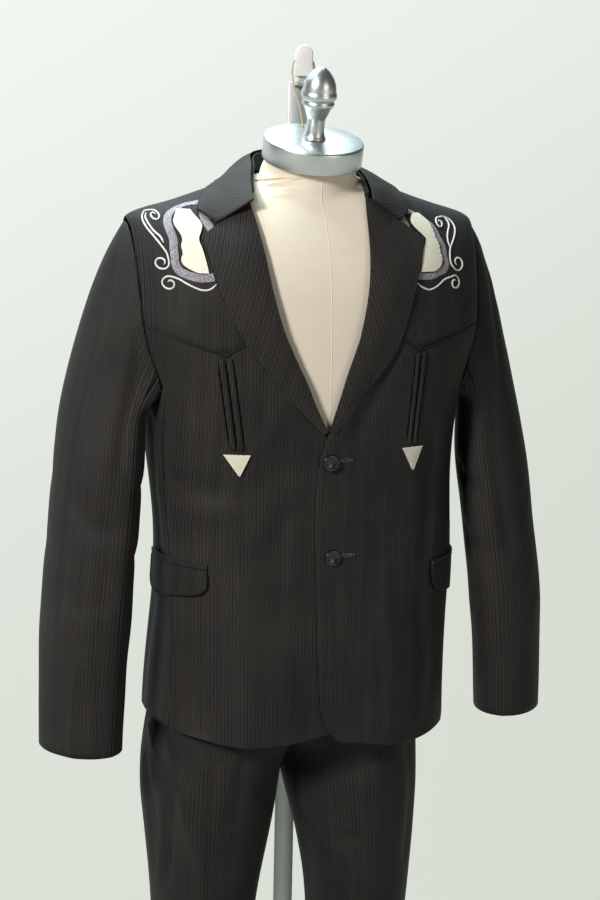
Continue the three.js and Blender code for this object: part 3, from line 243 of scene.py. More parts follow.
def brushedFinish(name, colour, roughness, stretch, metallic=1.0):
    made, tree, shader = newFinish(name, colour, roughness, metallic)
    streaks = clouds(tree, 90, 5)
    marks = clouds(tree, 14, 4)
    wire(tree, (solidCoords(tree, stretch), streaks.inputs[0]), (solidCoords(tree), marks.inputs[0]))
    wear = plus(tree, times(tree, streaks.outputs[0], 0.14), times(tree, marks.outputs[0], 0.12))
    wire(tree, (plus(tree, roughness - 0.13, wear), shader.inputs["Roughness"]))
    darker = tuple(c * 0.86 for c in colour)
    wire(tree, (blend2(tree, streaks.outputs[0], darker, colour), shader.inputs["Base Color"]))
    relief(tree, shader, streaks.outputs[0], 0.12, 0.05)
    return made


def smoothFinish(name, colour, roughness, **sockets):
    made, tree, shader = newFinish(name, colour, roughness, **sockets)
    haze = clouds(tree, 60, 4)
    wire(tree, (solidCoords(tree), haze.inputs[0]))
    uneven = plus(tree, roughness - 0.06, times(tree, haze.outputs[0], 0.12))
    wire(tree, (uneven, shader.inputs["Roughness"]))
    wire(tree, (blend2(tree, haze.outputs[0], tuple(c * 0.93 for c in colour), colour),
                shader.inputs["Base Color"]))
    return made


finishes = {
    "jacketCloth": suitingFinish("jacket cloth", 2.6),
    "lapelCloth": suitingFinish("lapel cloth", 3.0, 1.1),
    "trouserCloth": suitingFinish("trouser cloth", 2.5, 0.95),
    "pipingCloth": suitingFinish("piping cloth", 1.4, 1.3),
    "creamCloth": wovenFinish("cream cloth", (0.83, 0.82, 0.70), (0.62, 0.62, 0.48), 300, 0.7),
    "oliveThread": threadFinish("olive thread", (0.42, 0.43, 0.26), (0.24, 0.25, 0.13), 900),
    "bandStitch": threadFinish("band stitching", (0.33, 0.31, 0.35), (0.022, 0.020, 0.023), 620),
    "whiteCord": wovenFinish("white cord", (0.80, 0.80, 0.78), (0.56, 0.56, 0.55), 700, 0.6),
    # painted shade: a near-black finish for cords that stand in for the shade of deep grooves
    "grooveShade": smoothFinish("groove shade", (0.0035, 0.0035, 0.0037), 0.9, Specular_IOR_Level=0.05),
    "darkThread": threadFinish("dark thread", (0.017, 0.016, 0.017), (0.005, 0.005, 0.005), 1500),
    "formCanvas": wovenFinish("form canvas", (0.84, 0.78, 0.66), (0.70, 0.63, 0.50), 260, 0.9),
    "capSteel": brushedFinish("cap steel", (0.62, 0.65, 0.66), 0.36, (1, 1, 9)),
    "standSteel": brushedFinish("stand steel", (0.50, 0.52, 0.53), 0.40, (6, 6, 0.6)),
    "buttonPlastic": smoothFinish("button plastic", (0.006, 0.006, 0.007), 0.27),
    "tipPlastic": smoothFinish("tip plastic", (0.74, 0.74, 0.71), 0.36, Subsurface_Weight=0.25,
                               Subsurface_Scale=0.01),
    "brassWire": smoothFinish("brass wire", (0.42, 0.33, 0.19), 0.42),
}
print("finishes made:", len(finishes))

# grain: where a point of a panel lies on its flat cloth, u across the ribs and v along them
torsoSection = {"halfWidth": 205, "depth": 135, "power": 2.4}


def makeArc():
    table, length = [(0.0, 0.0)], 0.0
    last = (0.0, torsoSection["depth"])
    for i in range(1, 201):
        x = torsoSection["halfWidth"] * i / 200
        inside = max(1 - (i / 200) ** torsoSection["power"], 0)
        y = torsoSection["depth"] * inside ** (1 / torsoSection["power"])
        length += math.hypot(x - last[0], min(abs(y - last[1]), 4))
        last = (x, y)
        table.append((x, length))
    return table


arcTable = makeArc()


def stepTable(rows, at, column):
    if at <= rows[0][0]:
        return rows[0][column]
    for low, high in zip(rows, rows[1:]):
        if at <= high[0]:
            share = (at - low[0]) / (high[0] - low[0])
            return low[column] + (high[column] - low[column]) * share
    return rows[-1][column] + (at - rows[-1][0] if rows is arcTable else 0)


def faceGrain(p):
    return math.copysign(stepTable(arcTable, abs(p.x) / mm, 1) * mm, p.x), p.z


def flankGrain(p):
    return p.y * 1.06 + math.copysign(0.4, p.x), p.z


# level, out, y and shift to the right of the sleeve's and the leg's middle lines
sleeveLine = [(870, 289, -40, 0), (960, 286, -38, 0), (1060, 280, -33, 0), (1150, 270, -24, 0),
              (1235, 260, -14, 0), (1290, 256, -8, 0), (1400, 226, -2, 0), (1540, 190, 4, 0)]
legLine = [(30, 108, 28, 7), (300, 109, 26, 7), (520, 108, 22, 7), (640, 107, 18, 7), (740, 101, 14, 10),
           (850, 95, 12, 14), (935, 94, 12, 0), (1050, 94, 12, 0)]


# which side of the part a point is on; the trousers' centre seam is 12 mm right of the middle
def limbSign(line, x):
    return math.copysign(1, x + (0.012 if line is legLine else 0))


def limbMiddle(line, sign, z):
    level = z / mm
    out, y, shift = (stepTable(line, level, column) for column in (1, 2, 3))
    return Vector((sign * out - shift, y, level)) * mm


def limbGrain(line, radius, facing):
    def grain(p):
        sign = limbSign(line, p.x)
        middle = limbMiddle(line, sign, p.z)
        angle = math.atan2(p.y - middle.y, (p.x - middle.x) * sign) - facing
        angle = (angle + math.pi) % (2 * math.pi) - math.pi
        return sign * angle * radius * mm, p.z
    return grain


def slantGrain(lean):
    turn = math.radians(lean)

    def grain(p):
        x = abs(p.x)
        across = math.copysign(x * math.cos(turn) + p.z * math.sin(turn), p.x)
        return across, p.z * math.cos(turn) - x * math.sin(turn)
    return grain


def collarGrain(p):
    away = math.hypot(p.x, p.y)
    return p.z * 0.8 - away * 0.6, math.atan2(p.y, p.x) * 0.09


# cloth panels
def outwardTorso(p):
    high = max(0.0, min((p.z - 1.44) / 0.12, 1.0))
    return Vector((p.x * (1 - 0.4 * high), (p.y - 0.005) * 1.5 * (1 - 0.45 * high), 0.11 * high)).normalized()


def outwardLimb(line):
    def outward(p):
        middle = limbMiddle(line, limbSign(line, p.x), p.z)
        return Vector((p.x - middle.x, p.y - middle.y, 0.03 if p.z > 1.3 else 0)).normalized()
    return outward


def outwardCollar(p):
    return Vector((p.x, p.y + 0.01, 0.05)).normalized()


def copyNode(name):
    made = bmesh.new()
    made.from_mesh(nodes[name].data)
    bmesh.ops.remove_doubles(made, verts=made.verts, dist=1e-5)
    return made


sewnAngle = 48  # degrees between two faces above which their edge is sewn or cut


def sharpEdges(shape, angle=sewnAngle):
    return [edge for edge in shape.edges
            if len(edge.link_faces) == 2 and edge.calc_face_angle(0) > math.radians(angle)]


def finishObject(name, shape, finish, replaced=()):
    mesh = meshOf(name, shape)
    for face in mesh.polygons:
        face.use_smooth = True
    mesh.materials.append(finishes[finish])
    made = addObject(name, mesh)
    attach(made, "root")
    if replaced:
        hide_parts(*replaced)
    return made


def subdivided(shape, levels):
    bmesh.ops.join_triangles(shape, faces=shape.faces, angle_face_threshold=math.radians(50),
                             angle_shape_threshold=math.radians(70))
    layer = shape.edges.layers.float.get("crease_edge") or shape.edges.layers.float.new("crease_edge")
    for edge in sharpEdges(shape):
        edge[layer] = 1.0
    mesh = meshOf("rough", shape)
    rough = addObject("rough", mesh)
    modifier = rough.modifiers.new("subdivision", "SUBSURF")
    modifier.levels = modifier.render_levels = levels
    modifier.boundary_smooth = "PRESERVE_CORNERS"
    fine = rough.evaluated_get(bpy.context.evaluated_depsgraph_get())
    made = bmesh.new()
    made.from_mesh(fine.to_mesh())
    fine.to_mesh_clear()
    bpy.data.objects.remove(rough)
    bpy.data.meshes.remove(mesh)
    return made


# points along a panel's sewn edges; an open hem's own rim is left out, so it can ripple
def rimTree(shape, hem):
    points = []
    for edge in sharpEdges(shape):
        a, b = (v.co for v in edge.verts)
        length = (a - b).length
        if hem is not None and max(a.z, b.z) < hem and abs(a.z - b.z) < 0.6 * length:
            continue
        count = max(1, int(length / 0.006))
        points += [a.lerp(b, i / count) for i in range(count + 1)]
    tree = KDTree(max(len(points), 1))
    for i, point in enumerate(points):
        tree.insert(point, i)
    tree.balance()
    return tree, bool(points)


def nearLine(u, v, path):
    best = 1e9
    for (au, av), (bu, bv) in zip(path, path[1:]):
        du, dv = bu - au, bv - av
        t = max(0.0, min(((u - au) * du + (v - av) * dv) / (du * du + dv * dv), 1.0))
        best = min(best, math.hypot(u - au - t * du, v - av - t * dv))
    return best


# widens a panel a little at its sewn edges, so that no light shows through a seam
def closeSeams(shape, outward, reach, hem):
    shape.normal_update()
    moves = {}
    for face in shape.faces:
        if abs(face.normal.dot(outward(face.calc_center_median()))) > 0.35 or (hem and face.normal.z < -0.7):
            continue
        for vert in face.verts:
            moves.setdefault(vert, []).append(face.normal.copy())
    for vert, normals in moves.items():
        vert.co += sum(normals, Vector()).normalized() * reach * mm


# how cloth moves, in metres: pace of the ripples round and up, how far from a sewn edge they fade and a dip
# starts, and factors on each crease's width and on the height of ridges and troughs
clothMoves = {"slow": (11, 6), "quick": (34, 17), "quickShare": 0.3, "fade": 0.016, "dipReach": 0.011,
              "faceOn": 0.35, "foldWidth": 0.8, "ridge": 1.9, "trough": 1.5}


def rippleAt(p, pace, shift):
    around, up = clothMoves[pace]
    return noise.noise(Vector((p.x * around, p.y * around, p.z * up)) + shift)


cloth = {}


# moves a subdivided copy of a node like cloth: ripples, creases, and a dip beside its sewn edges
def clothPanel(name, outward, grain, finish="jacketCloth", levels=2, ripple=1.3, dip=0.4,
               seed=1, hem=None, close=0):
    rough = copyNode(name)
    tree, hasRim = rimTree(rough, hem)
    if close:
        closeSeams(rough, outward, close, hem)
    fine = subdivided(rough, levels)
    fine.normal_update()
    moves = []
    folds = [crease(*row) for row in creases.get(name, ())]
    shift = Vector((seed * 3.7, seed * 1.3, seed * 2.1))
    for vert in fine.verts:
        p = vert.co
        away = outward(p)
        facing = vert.normal.dot(away)
        push = away
        if abs(facing) > clothMoves["faceOn"]:
            push = vert.normal * math.copysign(1, facing)
        distance = tree.find(p)[2] if hasRim else 1.0
        fade = min(distance / clothMoves["fade"], 1.0)
        fade = fade * fade * (3 - 2 * fade)
        u, v = (c / mm for c in grain(p))
        lift = ripple * rippleAt(p, "slow", shift)
        lift += clothMoves["quickShare"] * ripple * rippleAt(p, "quick", shift)
        for path, width, depth in folds:
            near = nearLine(u, v, path) / width
            if near < 2.6:
                lift += depth * math.exp(-near * near)
        lift *= fade
        if facing > clothMoves["faceOn"] and distance < clothMoves["dipReach"]:
            lift -= dip * (1 - distance / clothMoves["dipReach"]) ** 1.5
        moves.append((vert, push * lift * mm))
    for vert, move in moves:
        vert.co += move
    layer = fine.loops.layers.uv.new("grain")
    for face in fine.faces:
        coords = [grain(loop.vert.co) for loop in face.loops]
        for loop, uv in zip(face.loops, coords):
            loop[layer].uv = uv
    cloth[name] = finishObject(name + "Cloth", fine, finish, (name,))


def crease(path, width, depth):
    return path, width * clothMoves["foldWidth"], depth * clothMoves["ridge" if depth > 0 else "trough"]


# creases by panel: path in millimetres on the flat cloth, half width, and height (below 0 sinks)
creases = {
    "FrontRight": [
        ([(-232, 1236), (-186, 1218), (-136, 1214)], 13, -3.4),
        ([(-226, 1346), (-219, 1269), (-207, 1200)], 13, -2.8),
        ([(-18, 1250), (-63, 1243), (-112, 1206)], 12, -1.9),
        ([(-16, 1226), (-56, 1206), (-94, 1156)], 11, 1.6),
        ([(-236, 1300), (-216, 1232), (-228, 1176)], 34, -2.8),
        ([(-158, 1286), (-146, 1240), (-150, 1196)], 26, 1.3),
        ([(-48, 1356), (-64, 1310), (-86, 1268)], 12, 1.5),
        ([(-157, 1070), (-162, 1000), (-156, 915)], 17, -2.6),
        ([(-100, 1100), (-92, 1010), (-98, 905)], 19, 1.7),
        ([(-48, 1082), (-38, 1006), (-26, 915)], 15, -1.6),
        ([(-204, 1067), (-200, 994), (-193, 922)], 8, -1.8),
        ([(-206, 1196), (-170, 1184), (-110, 1192)], 15, 2.0),
        ([(-128, 1190), (-132, 1130), (-126, 1090)], 14, 1.6),
        ([(-60, 1180), (-72, 1110), (-66, 1050)], 18, -2.2)],
    "FrontLeft": [
        ([(66, 1398), (40, 1344), (10, 1294)], 10, 2.3),
        ([(84, 1392), (62, 1336), (34, 1284)], 11, -2.2),
        ([(4, 1243), (39, 1227), (98, 1199)], 12, -2.2),
        ([(141, 1276), (143, 1191), (140, 1120)], 13, -3.3),
        ([(188, 1320), (184, 1240), (188, 1160)], 13, -2.4),
        ([(134, 1064), (146, 996), (139, 912)], 16, -2.8),
        ([(9, 1079), (30, 1001), (50, 922)], 15, -1.7),
        ([(76, 1090), (92, 1004), (94, 906)], 17, 1.6),
        ([(212, 1300), (206, 1236), (214, 1180)], 32, -2.8),
        ([(166, 1296), (171, 1210), (163, 1150)], 14, 1.4),
        ([(60, 1200), (64, 1120), (54, 1040)], 18, -2.0)],
    "SidePanelRight": [([(-430, 1290), (-412, 1190), (-420, 1110)], 13, -2),
                       ([(-400, 1060), (-392, 930)], 14, -1.6)],
    "SidePanelLeft": [([(420, 1290), (408, 1180), (416, 1120)], 13, -2),
                      ([(404, 1040), (396, 920)], 14, -1.6)],
    "BackRight": [
        ([(-176, 1400), (-150, 1320), (-128, 1240)], 15, -2.8),
        ([(-60, 1180), (-120, 1160), (-170, 1172)], 12, -2),
        ([(-92, 1080), (-86, 980), (-90, 905)], 18, 1.7),
        ([(-40, 1120), (-90, 1106), (-140, 1112)], 10, -1.3)],
    "BackLeft": [
        ([(182, 1404), (156, 1316), (126, 1250)], 15, -2.7),
        ([(50, 1170), (110, 1152), (168, 1164)], 12, -2),
        ([(102, 1070), (96, 970), (98, 900)], 18, 1.6),
        ([(30, 1108), (84, 1096), (150, 1104)], 10, -1.2)],
    "BackYoke": [([(-150, 1440), (-110, 1500), (-84, 1560)], 15, -1.6),
                 ([(148, 1444), (112, 1506), (86, 1558)], 15, -1.5)],
    "YokeRight": [([(-200, 1430), (-190, 1480), (-176, 1530)], 13, -1.4),
                  ([(-128, 1396), (-140, 1440)], 11, -1)],
    "YokeLeft": [([(200, 1432), (190, 1476), (174, 1524)], 13, -1.4),
                 ([(110, 1398), (120, 1440)], 11, -1)],
    "TopSleeveRight": [
        ([(24, 1478), (48, 1420), (62, 1350)], 12, -2.2),
        ([(92, 1400), (104, 1320), (98, 1240)], 10, -2.8),
        ([(118, 1130), (112, 1030), (114, 930)], 8, -2.6),
        ([(36, 1200), (74, 1168), (120, 1160)], 13, -1.9),
        ([(30, 1092), (66, 1072), (104, 1078)], 12, -1.5),
        ([(70, 1000), (62, 950), (66, 900)], 14, 1.4),
        ([(-100, 1236), (-66, 1214), (-34, 1222)], 12, -2.4),
        ([(-104, 1150), (-70, 1130), (-38, 1138)], 11, -2.2)],
    "TopSleeveLeft": [
        ([(-20, 1482), (-46, 1424), (-62, 1352)], 12, -2),
        ([(-124, 1380), (-132, 1290), (-122, 1180)], 9, -3),
        ([(-92, 1340), (-100, 1240), (-94, 1120)], 12, -2.2),
        ([(-128, 1110), (-122, 1010), (-126, 920)], 9, -2.6),
        ([(-52, 1180), (-90, 1152), (-128, 1148)], 12, -1.8),
        ([(-48, 1060), (-84, 1040), (-112, 1046)], 12, -1.5),
        ([(102, 1226), (68, 1204), (34, 1214)], 12, -2.4),
        ([(104, 1140), (72, 1118), (38, 1128)], 11, -2.2)],
    "UnderSleeveRight": [
        ([(150, 1220), (126, 1196), (108, 1204)], 11, -2.4),
        ([(156, 1140), (130, 1118), (112, 1124)], 11, -2.2),
        ([(-130, 1190), (-124, 1090), (-130, 1000)], 11, -1.8)],
    "UnderSleeveLeft": [
        ([(-152, 1214), (-130, 1192), (-112, 1200)], 11, -2.4),
        ([(-158, 1136), (-134, 1112), (-114, 1120)], 11, -2.2),
        ([(132, 1180), (126, 1086), (130, 990)], 11, -1.8)],
    "TrouserFrontRight": [
        ([(-108, 892), (-48, 820), (-26, 722), (-20, 640)], 8, 3.4),
        ([(-86, 896), (-60, 824), (-70, 753), (-78, 690)], 9, -4.2),
        ([(-112, 850), (-98, 770), (-104, 700)], 8, -2.4),
        ([(24, 882), (12, 840), (7, 780)], 9, -2.6),
        ([(-6, 880), (-20, 800), (4, 720)], 12, -1.8), ([(40, 812), (74, 780)], 11, -2.4),
        ([(-60, 520), (0, 500), (60, 516)], 15, -2.4),
        ([(-70, 430), (-10, 404), (50, 420)], 16, -2),
        ([(-50, 110), (10, 84), (60, 96)], 12, -2.6), ([(0, 640), (2, 420), (2, 180)], 4, 1.3)],
    "TrouserFrontLeft": [
        ([(40, 884), (-34, 824), (-30, 730)], 10, -3), ([(12, 884), (8, 840), (5, 800)], 4, 2.4),
        ([(60, 850), (58, 760), (50, 690)], 12, -2.2),
        ([(-80, 750), (-50, 730), (-14, 738)], 11, -2.2),
        ([(-60, 500), (0, 478), (60, 492)], 15, -2.4), ([(60, 96), (0, 76), (-50, 92)], 12, -2.6),
        ([(0, 600), (0, 420), (0, 180)], 4, 1.3)],
    "TrouserBackRight": [
        ([(-90, 850), (-20, 800), (60, 790)], 14, -3),
        ([(-80, 770), (0, 728), (60, 740)], 12, -2.4),
        ([(-70, 560), (0, 530), (60, 548)], 15, -2.6),
        ([(-60, 470), (6, 452), (56, 466)], 13, -2),
        ([(-50, 120), (0, 96), (56, 108)], 12, -2.4), ([(0, 640), (0, 420), (0, 160)], 4, 1.2)],
    "TrouserBackLeft": [
        ([(88, 860), (20, 810), (-60, 796)], 14, -3),
        ([(80, 780), (0, 736), (-60, 748)], 12, -2.4),
        ([(66, 550), (0, 522), (-60, 540)], 15, -2.6),
        ([(56, 462), (0, 446), (-56, 460)], 13, -2),
        ([(52, 112), (0, 92), (-52, 104)], 12, -2.4), ([(0, 640), (0, 420), (0, 160)], 4, 1.2)],
}

torsoPanels = ["FrontRight", "FrontLeft", "YokeRight", "YokeLeft", "BackRight", "BackLeft", "BackYoke"]
for i, name in enumerate(torsoPanels):
    clothPanel(name, outwardTorso, faceGrain, seed=i + 1, close=0.2,
               hem=0.93 if name.startswith(("Front", "BackR", "BackL")) else None)
for i, side in enumerate(("Right", "Left")):
    clothPanel("SidePanel" + side, outwardTorso, flankGrain, seed=9 + i, hem=0.93, close=0.25)
    for part in ("TopSleeve", "UnderSleeve"):
        clothPanel(part + side, outwardLimb(sleeveLine), limbGrain(sleeveLine, 54, 0), seed=12 + i,
                   hem=0.92, close=0.25)
    clothPanel("Lapel" + side, outwardTorso, slantGrain(17), "lapelCloth", levels=3, ripple=0.5, dip=0.5,
               seed=15 + i)
    for part, facing in (("Front", -math.pi / 2), ("Back", math.pi / 2)):
        clothPanel("Trouser" + part + side, outwardLimb(legLine), limbGrain(legLine, 82, facing),
                   "trouserCloth", seed=18 + i, hem=0.05, close=0.25)
    clothPanel("Waistband" + side, outwardTorso, faceGrain, "trouserCloth", ripple=0.2, dip=0.3)
    for part in ("PocketWelt", "PocketFlap"):
        clothPanel(part + side, outwardTorso, flankGrain, ripple=0.3, dip=0.4, seed=22 + i)
    for n in ("1", "2"):
        clothPanel("ChestTuck" + side + n, outwardTorso, faceGrain, ripple=0.1, dip=0)
clothPanel("CollarFall", outwardCollar, collarGrain, "lapelCloth", ripple=0.5, dip=0.5, seed=30)
clothPanel("CollarStand", outwardCollar, collarGrain, ripple=0.2, dip=0.2)
print("cloth panels:", len(cloth))


# laying seams and ornament on the cloth
def treeOf(names):
    verts, faces = [], []
    for name in names:
        mesh = cloth[name].data
        start = len(verts)
        verts += [v.co.copy() for v in mesh.vertices]
        faces += [[start + i for i in face.vertices] for face in mesh.polygons]
    return BVHTree.FromPolygons(verts, faces)


frontTree = treeOf([n for n in cloth if n.startswith(("Front", "Yoke", "SidePanel"))])
backTree = treeOf(["BackRight", "BackLeft", "BackYoke"])


def laid(x, z, side=-1):
    tree = frontTree if side < 0 else backTree
    point, normal, _, _ = tree.ray_cast(Vector((x * mm, side * 0.5, z * mm)), Vector((0, -side, 0)))
    if point is None:
        point, normal, _, _ = tree.find_nearest(Vector((x * mm, side * 0.05, z * mm)))
    return point, (normal if normal.y * side > 0 else -normal)


def flowing(points, count):
    line = []
    for i in range(len(points) - 1):
        p0, p1, p2, p3 = (Vector(points[max(0, min(k, len(points) - 1))]) for k in (i - 1, i, i + 1, i + 2))
        for j in range(count):
            t = j / count
            line.append(0.5 * ((2 * p1) + (p2 - p0) * t + (2 * p0 - 5 * p1 + 4 * p2 - p3) * t * t
                               + (3 * p1 - p0 - 3 * p2 + p3) * t ** 3))
    return line + [Vector(points[-1])]


# a cord along (point, normal) pairs
def cordOn(shape, line, wide, high, lift=0.0, sides=8, closed=False, taper=0):
    rings = []
    count = len(line)
    for i, (point, normal) in enumerate(line):
        ahead = line[(i + 1) % count][0] if closed or i + 1 < count else point
        behind = line[i - 1][0] if closed or i > 0 else point
        along = (ahead - behind).normalized()
        across = along.cross(normal).normalized()
        size = 1.0
        if taper and not closed:
            size = min(1.0, 0.35 + 0.65 * min(i, count - 1 - i) / taper)
        ring = []
        for k in range(sides):
            angle = 2 * math.pi * k / sides
            ring.append(shape.verts.new(point + across * math.cos(angle) * wide * size * mm
                                        + normal * (math.sin(angle) * high * size + lift) * mm))
        rings.append(ring)
    pairs = list(zip(rings, rings[1:])) + ([(rings[-1], rings[0])] if closed else [])
    for ring, following in pairs:
        for k in range(sides):
            shape.faces.new((ring[k], ring[(k + 1) % sides], following[(k + 1) % sides], following[k]))
    if not closed:
        shape.faces.new(rings[0][::-1])
        shape.faces.new(rings[-1])


# the piped seam along each pointed yoke, and along the straight one at the back
piping = {"wide": 1.3, "high": 1.2, "lift": 0.35,
          "Right": [(44, 1400), (96, 1399), (112, 1391), (128.5, 1381), (131, 1381.3), (170, 1394),
                    (211, 1408)],
          "Left": [(36, 1400), (84, 1400), (98, 1393), (111.5, 1384), (114, 1384.3), (160, 1397),
                   (212, 1411)]}
for side, sign in (("Right", -1), ("Left", 1)):
    shape = bmesh.new()
    line = flowing([(sign * x, z - 0.15) for x, z in piping[side]], 8)
    cordOn(shape, [laid(p.x, p.y) for p in line], piping["wide"], piping["high"], piping["lift"], taper=3)
    finishObject("YokePiping" + side, shape, "pipingCloth")
shape = bmesh.new()
cordOn(shape, [laid(-212 + 424 * i / 60, 1423.9, 1) for i in range(61)], piping["wide"], piping["high"],
       piping["lift"])
finishObject("YokePipingBack", shape, "pipingCloth")


# a narrow welt laid along the seam of each sleeve head
armhole = {"wide": 1.7, "high": 1.5, "lift": -0.5, "reach": 4.5, "steps": 84}


def armholeLine(side, sign):
    body = treeOf([n for n in cloth if n.endswith(side)
                   and n.startswith(("Front", "Yoke", "SidePanel", "Back"))] + ["BackYoke"])
    points = []
    for part in ("TopSleeve", "UnderSleeve"):
        shape = copyNode(part + side)
        for edge in sharpEdges(shape):
            middle = (edge.verts[0].co + edge.verts[1].co) / 2
            if middle.z > 1.2 and body.find_nearest(middle)[3] < armhole["reach"] * mm:
                points.append(middle)
        shape.free()
    centre = sum(points, Vector()) / len(points)
    groups = [[] for _ in range(armhole["steps"])]
    for point in points:
        share = (math.atan2(point.z - centre.z, point.y - centre.y) / (2 * math.pi)) % 1
        groups[int(share * armhole["steps"]) % armhole["steps"]].append(point)
    ring = []
    for group in groups:
        if group:
            far = max(math.hypot(p.y - centre.y, p.z - centre.z) for p in group)
            outer = [p for p in group if math.hypot(p.y - centre.y, p.z - centre.z) > far - 1.2 * mm]
            ring.append(sum(outer, Vector()) / len(outer))
    for _ in range(3):
        ring = [(ring[i - 1] + ring[i] * 2 + ring[(i + 1) % len(ring)]) / 4 for i in range(len(ring))]
    return [(p, Vector((sign * 0.05, p.y - centre.y, p.z - centre.z)).normalized()) for p in ring]


for side, sign in (("Right", -1), ("Left", 1)):
    shape = bmesh.new()
    cordOn(shape, armholeLine(side, sign), armhole["wide"], armhole["high"], armhole["lift"], closed=True)
    finishObject("ArmholeWelt" + side, shape, "pipingCloth")


# painted shade: near-black cords in the deep lines beside and between the two tucks on each side of the chest
def tuckEdges(name, top):
    levels = [v.co.z for v in cloth[name].data.vertices]
    level = max(levels) - 0.004 if top else min(levels) + 0.004
    xs = [v.co.x for v in cloth[name].data.vertices if abs(v.co.z - level) < 0.005]
    return min(xs) / mm, max(xs) / mm, level / mm


tuckShadowLine = {"wide": 0.95, "high": 0.8, "lift": 0.15, "steps": 24}
for side in ("Right", "Left"):
    shape = bmesh.new()
    ends = []
    for top in (True, False):
        one, two = sorted(tuckEdges("ChestTuck" + side + n, top) for n in ("1", "2"))
        ends.append(((one[0] - 0.5, one[2]), ((one[1] + two[0]) / 2, one[2]), (two[1] + 0.5, two[2])))
    for (ax, az), (bx, bz) in zip(*ends):
        line = [laid(ax + (bx - ax) * i / tuckShadowLine["steps"], az + (bz - az) * i / tuckShadowLine["steps"])
                for i in range(tuckShadowLine["steps"] + 1)]
        cordOn(shape, line, tuckShadowLine["wide"], tuckShadowLine["high"], tuckShadowLine["lift"], sides=6, taper=3)
    finishObject("TuckShadowLines" + side, shape, "grooveShade")


# a rolled rim round the outer face of each pocket flap
def rimLine(name, steps):
    shape = copyNode(name)
    shape.normal_update()
    points = []
    for edge in sharpEdges(shape):
        a, b = (v.co for v in edge.verts)
        if max(face.normal.dot(outwardTorso((a + b) / 2)) for face in edge.link_faces) > 0.6:
            count = max(1, int((b - a).length / 0.002))
            points += [a.lerp(b, i / count) for i in range(count)]
    shape.free()
    along = [faceGrain(p)[0] - p.y for p in points]
    middle = sum(along) / len(along)
    centre = sum(points, Vector()) / len(points)
    groups = [[] for _ in range(steps)]
    for point, t in zip(points, along):
        share = (math.atan2((point.z - centre.z) * 2.2, t - middle) / (2 * math.pi)) % 1
        groups[int(share * steps) % steps].append(point)
    ring = [sum(group, Vector()) / len(group) for group in groups if group]
    return [(p, outwardTorso(p)) for p in ring]


for side in ("Right", "Left"):
    shape = bmesh.new()
    cordOn(shape, rimLine("PocketFlap" + side, 70), 0.8, 0.7, -0.1, sides=6, closed=True)
    finishObject("FlapRim" + side, shape, "pipingCloth")
print("seams laid")

# shoulder ornament: points are out from the middle and up
# a curl at a scroll's head or tail is its centre, direction, number of turns and inner radius
ornament = {"cord": (1.15, 0.9), "Right": {
    "bandWidth": 10.4,
    "band": [(134, 1557), (147, 1554.5), (158, 1552), (172, 1546), (180, 1539.5), (183, 1531), (181.5, 1521),
             (180, 1512), (181, 1503), (180.7, 1494), (180.5, 1485), (176, 1477), (166, 1472.5),
             (155, 1470.3), (143, 1471.5), (136, 1474)],
    "notch": [(128, 1556), (139, 1547), (142, 1540), (138, 1528), (131, 1517)],
    "scrolls": [
        {"head": (195, 1539.2, 1, 1.15, 1.8),
         "body": [(194.6, 1544.8), (203.5, 1543.2), (208.5, 1536), (206.6, 1526.4), (200.4, 1516.3),
                  (193.9, 1506), (188.8, 1496.7), (187.5, 1487)],
         "tail": (195.2, 1486.3, 1, 1.15, 2.6)},
        {"body": [(202.8, 1541.8), (205, 1535), (200, 1523), (193.4, 1515.5), (191, 1509)]},
        {"head": (188.5, 1463.1, -1, 1.2, 2.2),
         "body": [(186.4, 1471), (177.6, 1468), (167, 1461.7), (154.3, 1456.8), (144.8, 1458.5),
                  (137, 1465.5)]}],
    "dimples": [(162, 1538), (153, 1531), (161, 1519), (166, 1505), (156, 1495)]},
    "Left": {
    "bandWidth": 9.4,
    "band": [(96, 1556), (108, 1551), (121, 1545), (135.7, 1537), (146, 1528), (150, 1517), (155, 1506),
             (154.6, 1495), (156, 1485.5), (151, 1478.5), (141, 1475.6), (132, 1472.2), (117, 1472),
             (108, 1474)],
    "notch": [(94, 1552), (101.5, 1543), (105, 1533), (106, 1522)],
    "scrolls": [
        {"head": (159.5, 1532.8, 1, 1.15, 1.8),
         "body": [(160.5, 1538.8), (169.5, 1539.4), (178, 1536), (182, 1529.5), (180.4, 1521.5),
                  (173.8, 1511.3), (166.3, 1501), (163.2, 1490.5), (164.4, 1483.8), (168.4, 1479.4)],
         "tail": (175.8, 1485, 1, 1.05, 2.4)},
        {"body": [(171, 1538.6), (174.4, 1531), (168, 1519.5), (165.6, 1510.5), (167.4, 1503)]},
        {"head": (167.2, 1462.3, -1, 1.2, 2.2),
         "body": [(163.5, 1469.9), (151, 1467), (138.4, 1459.4), (126.8, 1455.8), (116, 1459.5),
                  (107, 1466.5)]}],
    "dimples": [(127, 1541), (137, 1529), (130, 1517), (139, 1505), (129, 1491), (141, 1487)]}}


# from an outer point round into the centre of a curl
def spiral(curl, start, count=30):
    cx, cz, turn, turns, inner = curl
    away = math.hypot(start[0] - cx, start[1] - cz)
    angle = math.atan2(start[1] - cz, start[0] - cx)
    points = []
    for i in range(1, count + 1):
        t = i / count
        radius = away + (inner - away) * t ** 1.5
        at = angle + turn * turns * 2 * math.pi * t
        points.append((cx + radius * math.cos(at), cz + radius * math.sin(at)))
    return points


def scrollLine(scroll):
    line = [tuple(p) for p in flowing(scroll["body"], 8)]
    if "head" in scroll:
        line = spiral(scroll["head"], scroll["body"][0])[::-1] + line
    if "tail" in scroll:
        line = line + spiral(scroll["tail"], scroll["body"][-1])
    return line


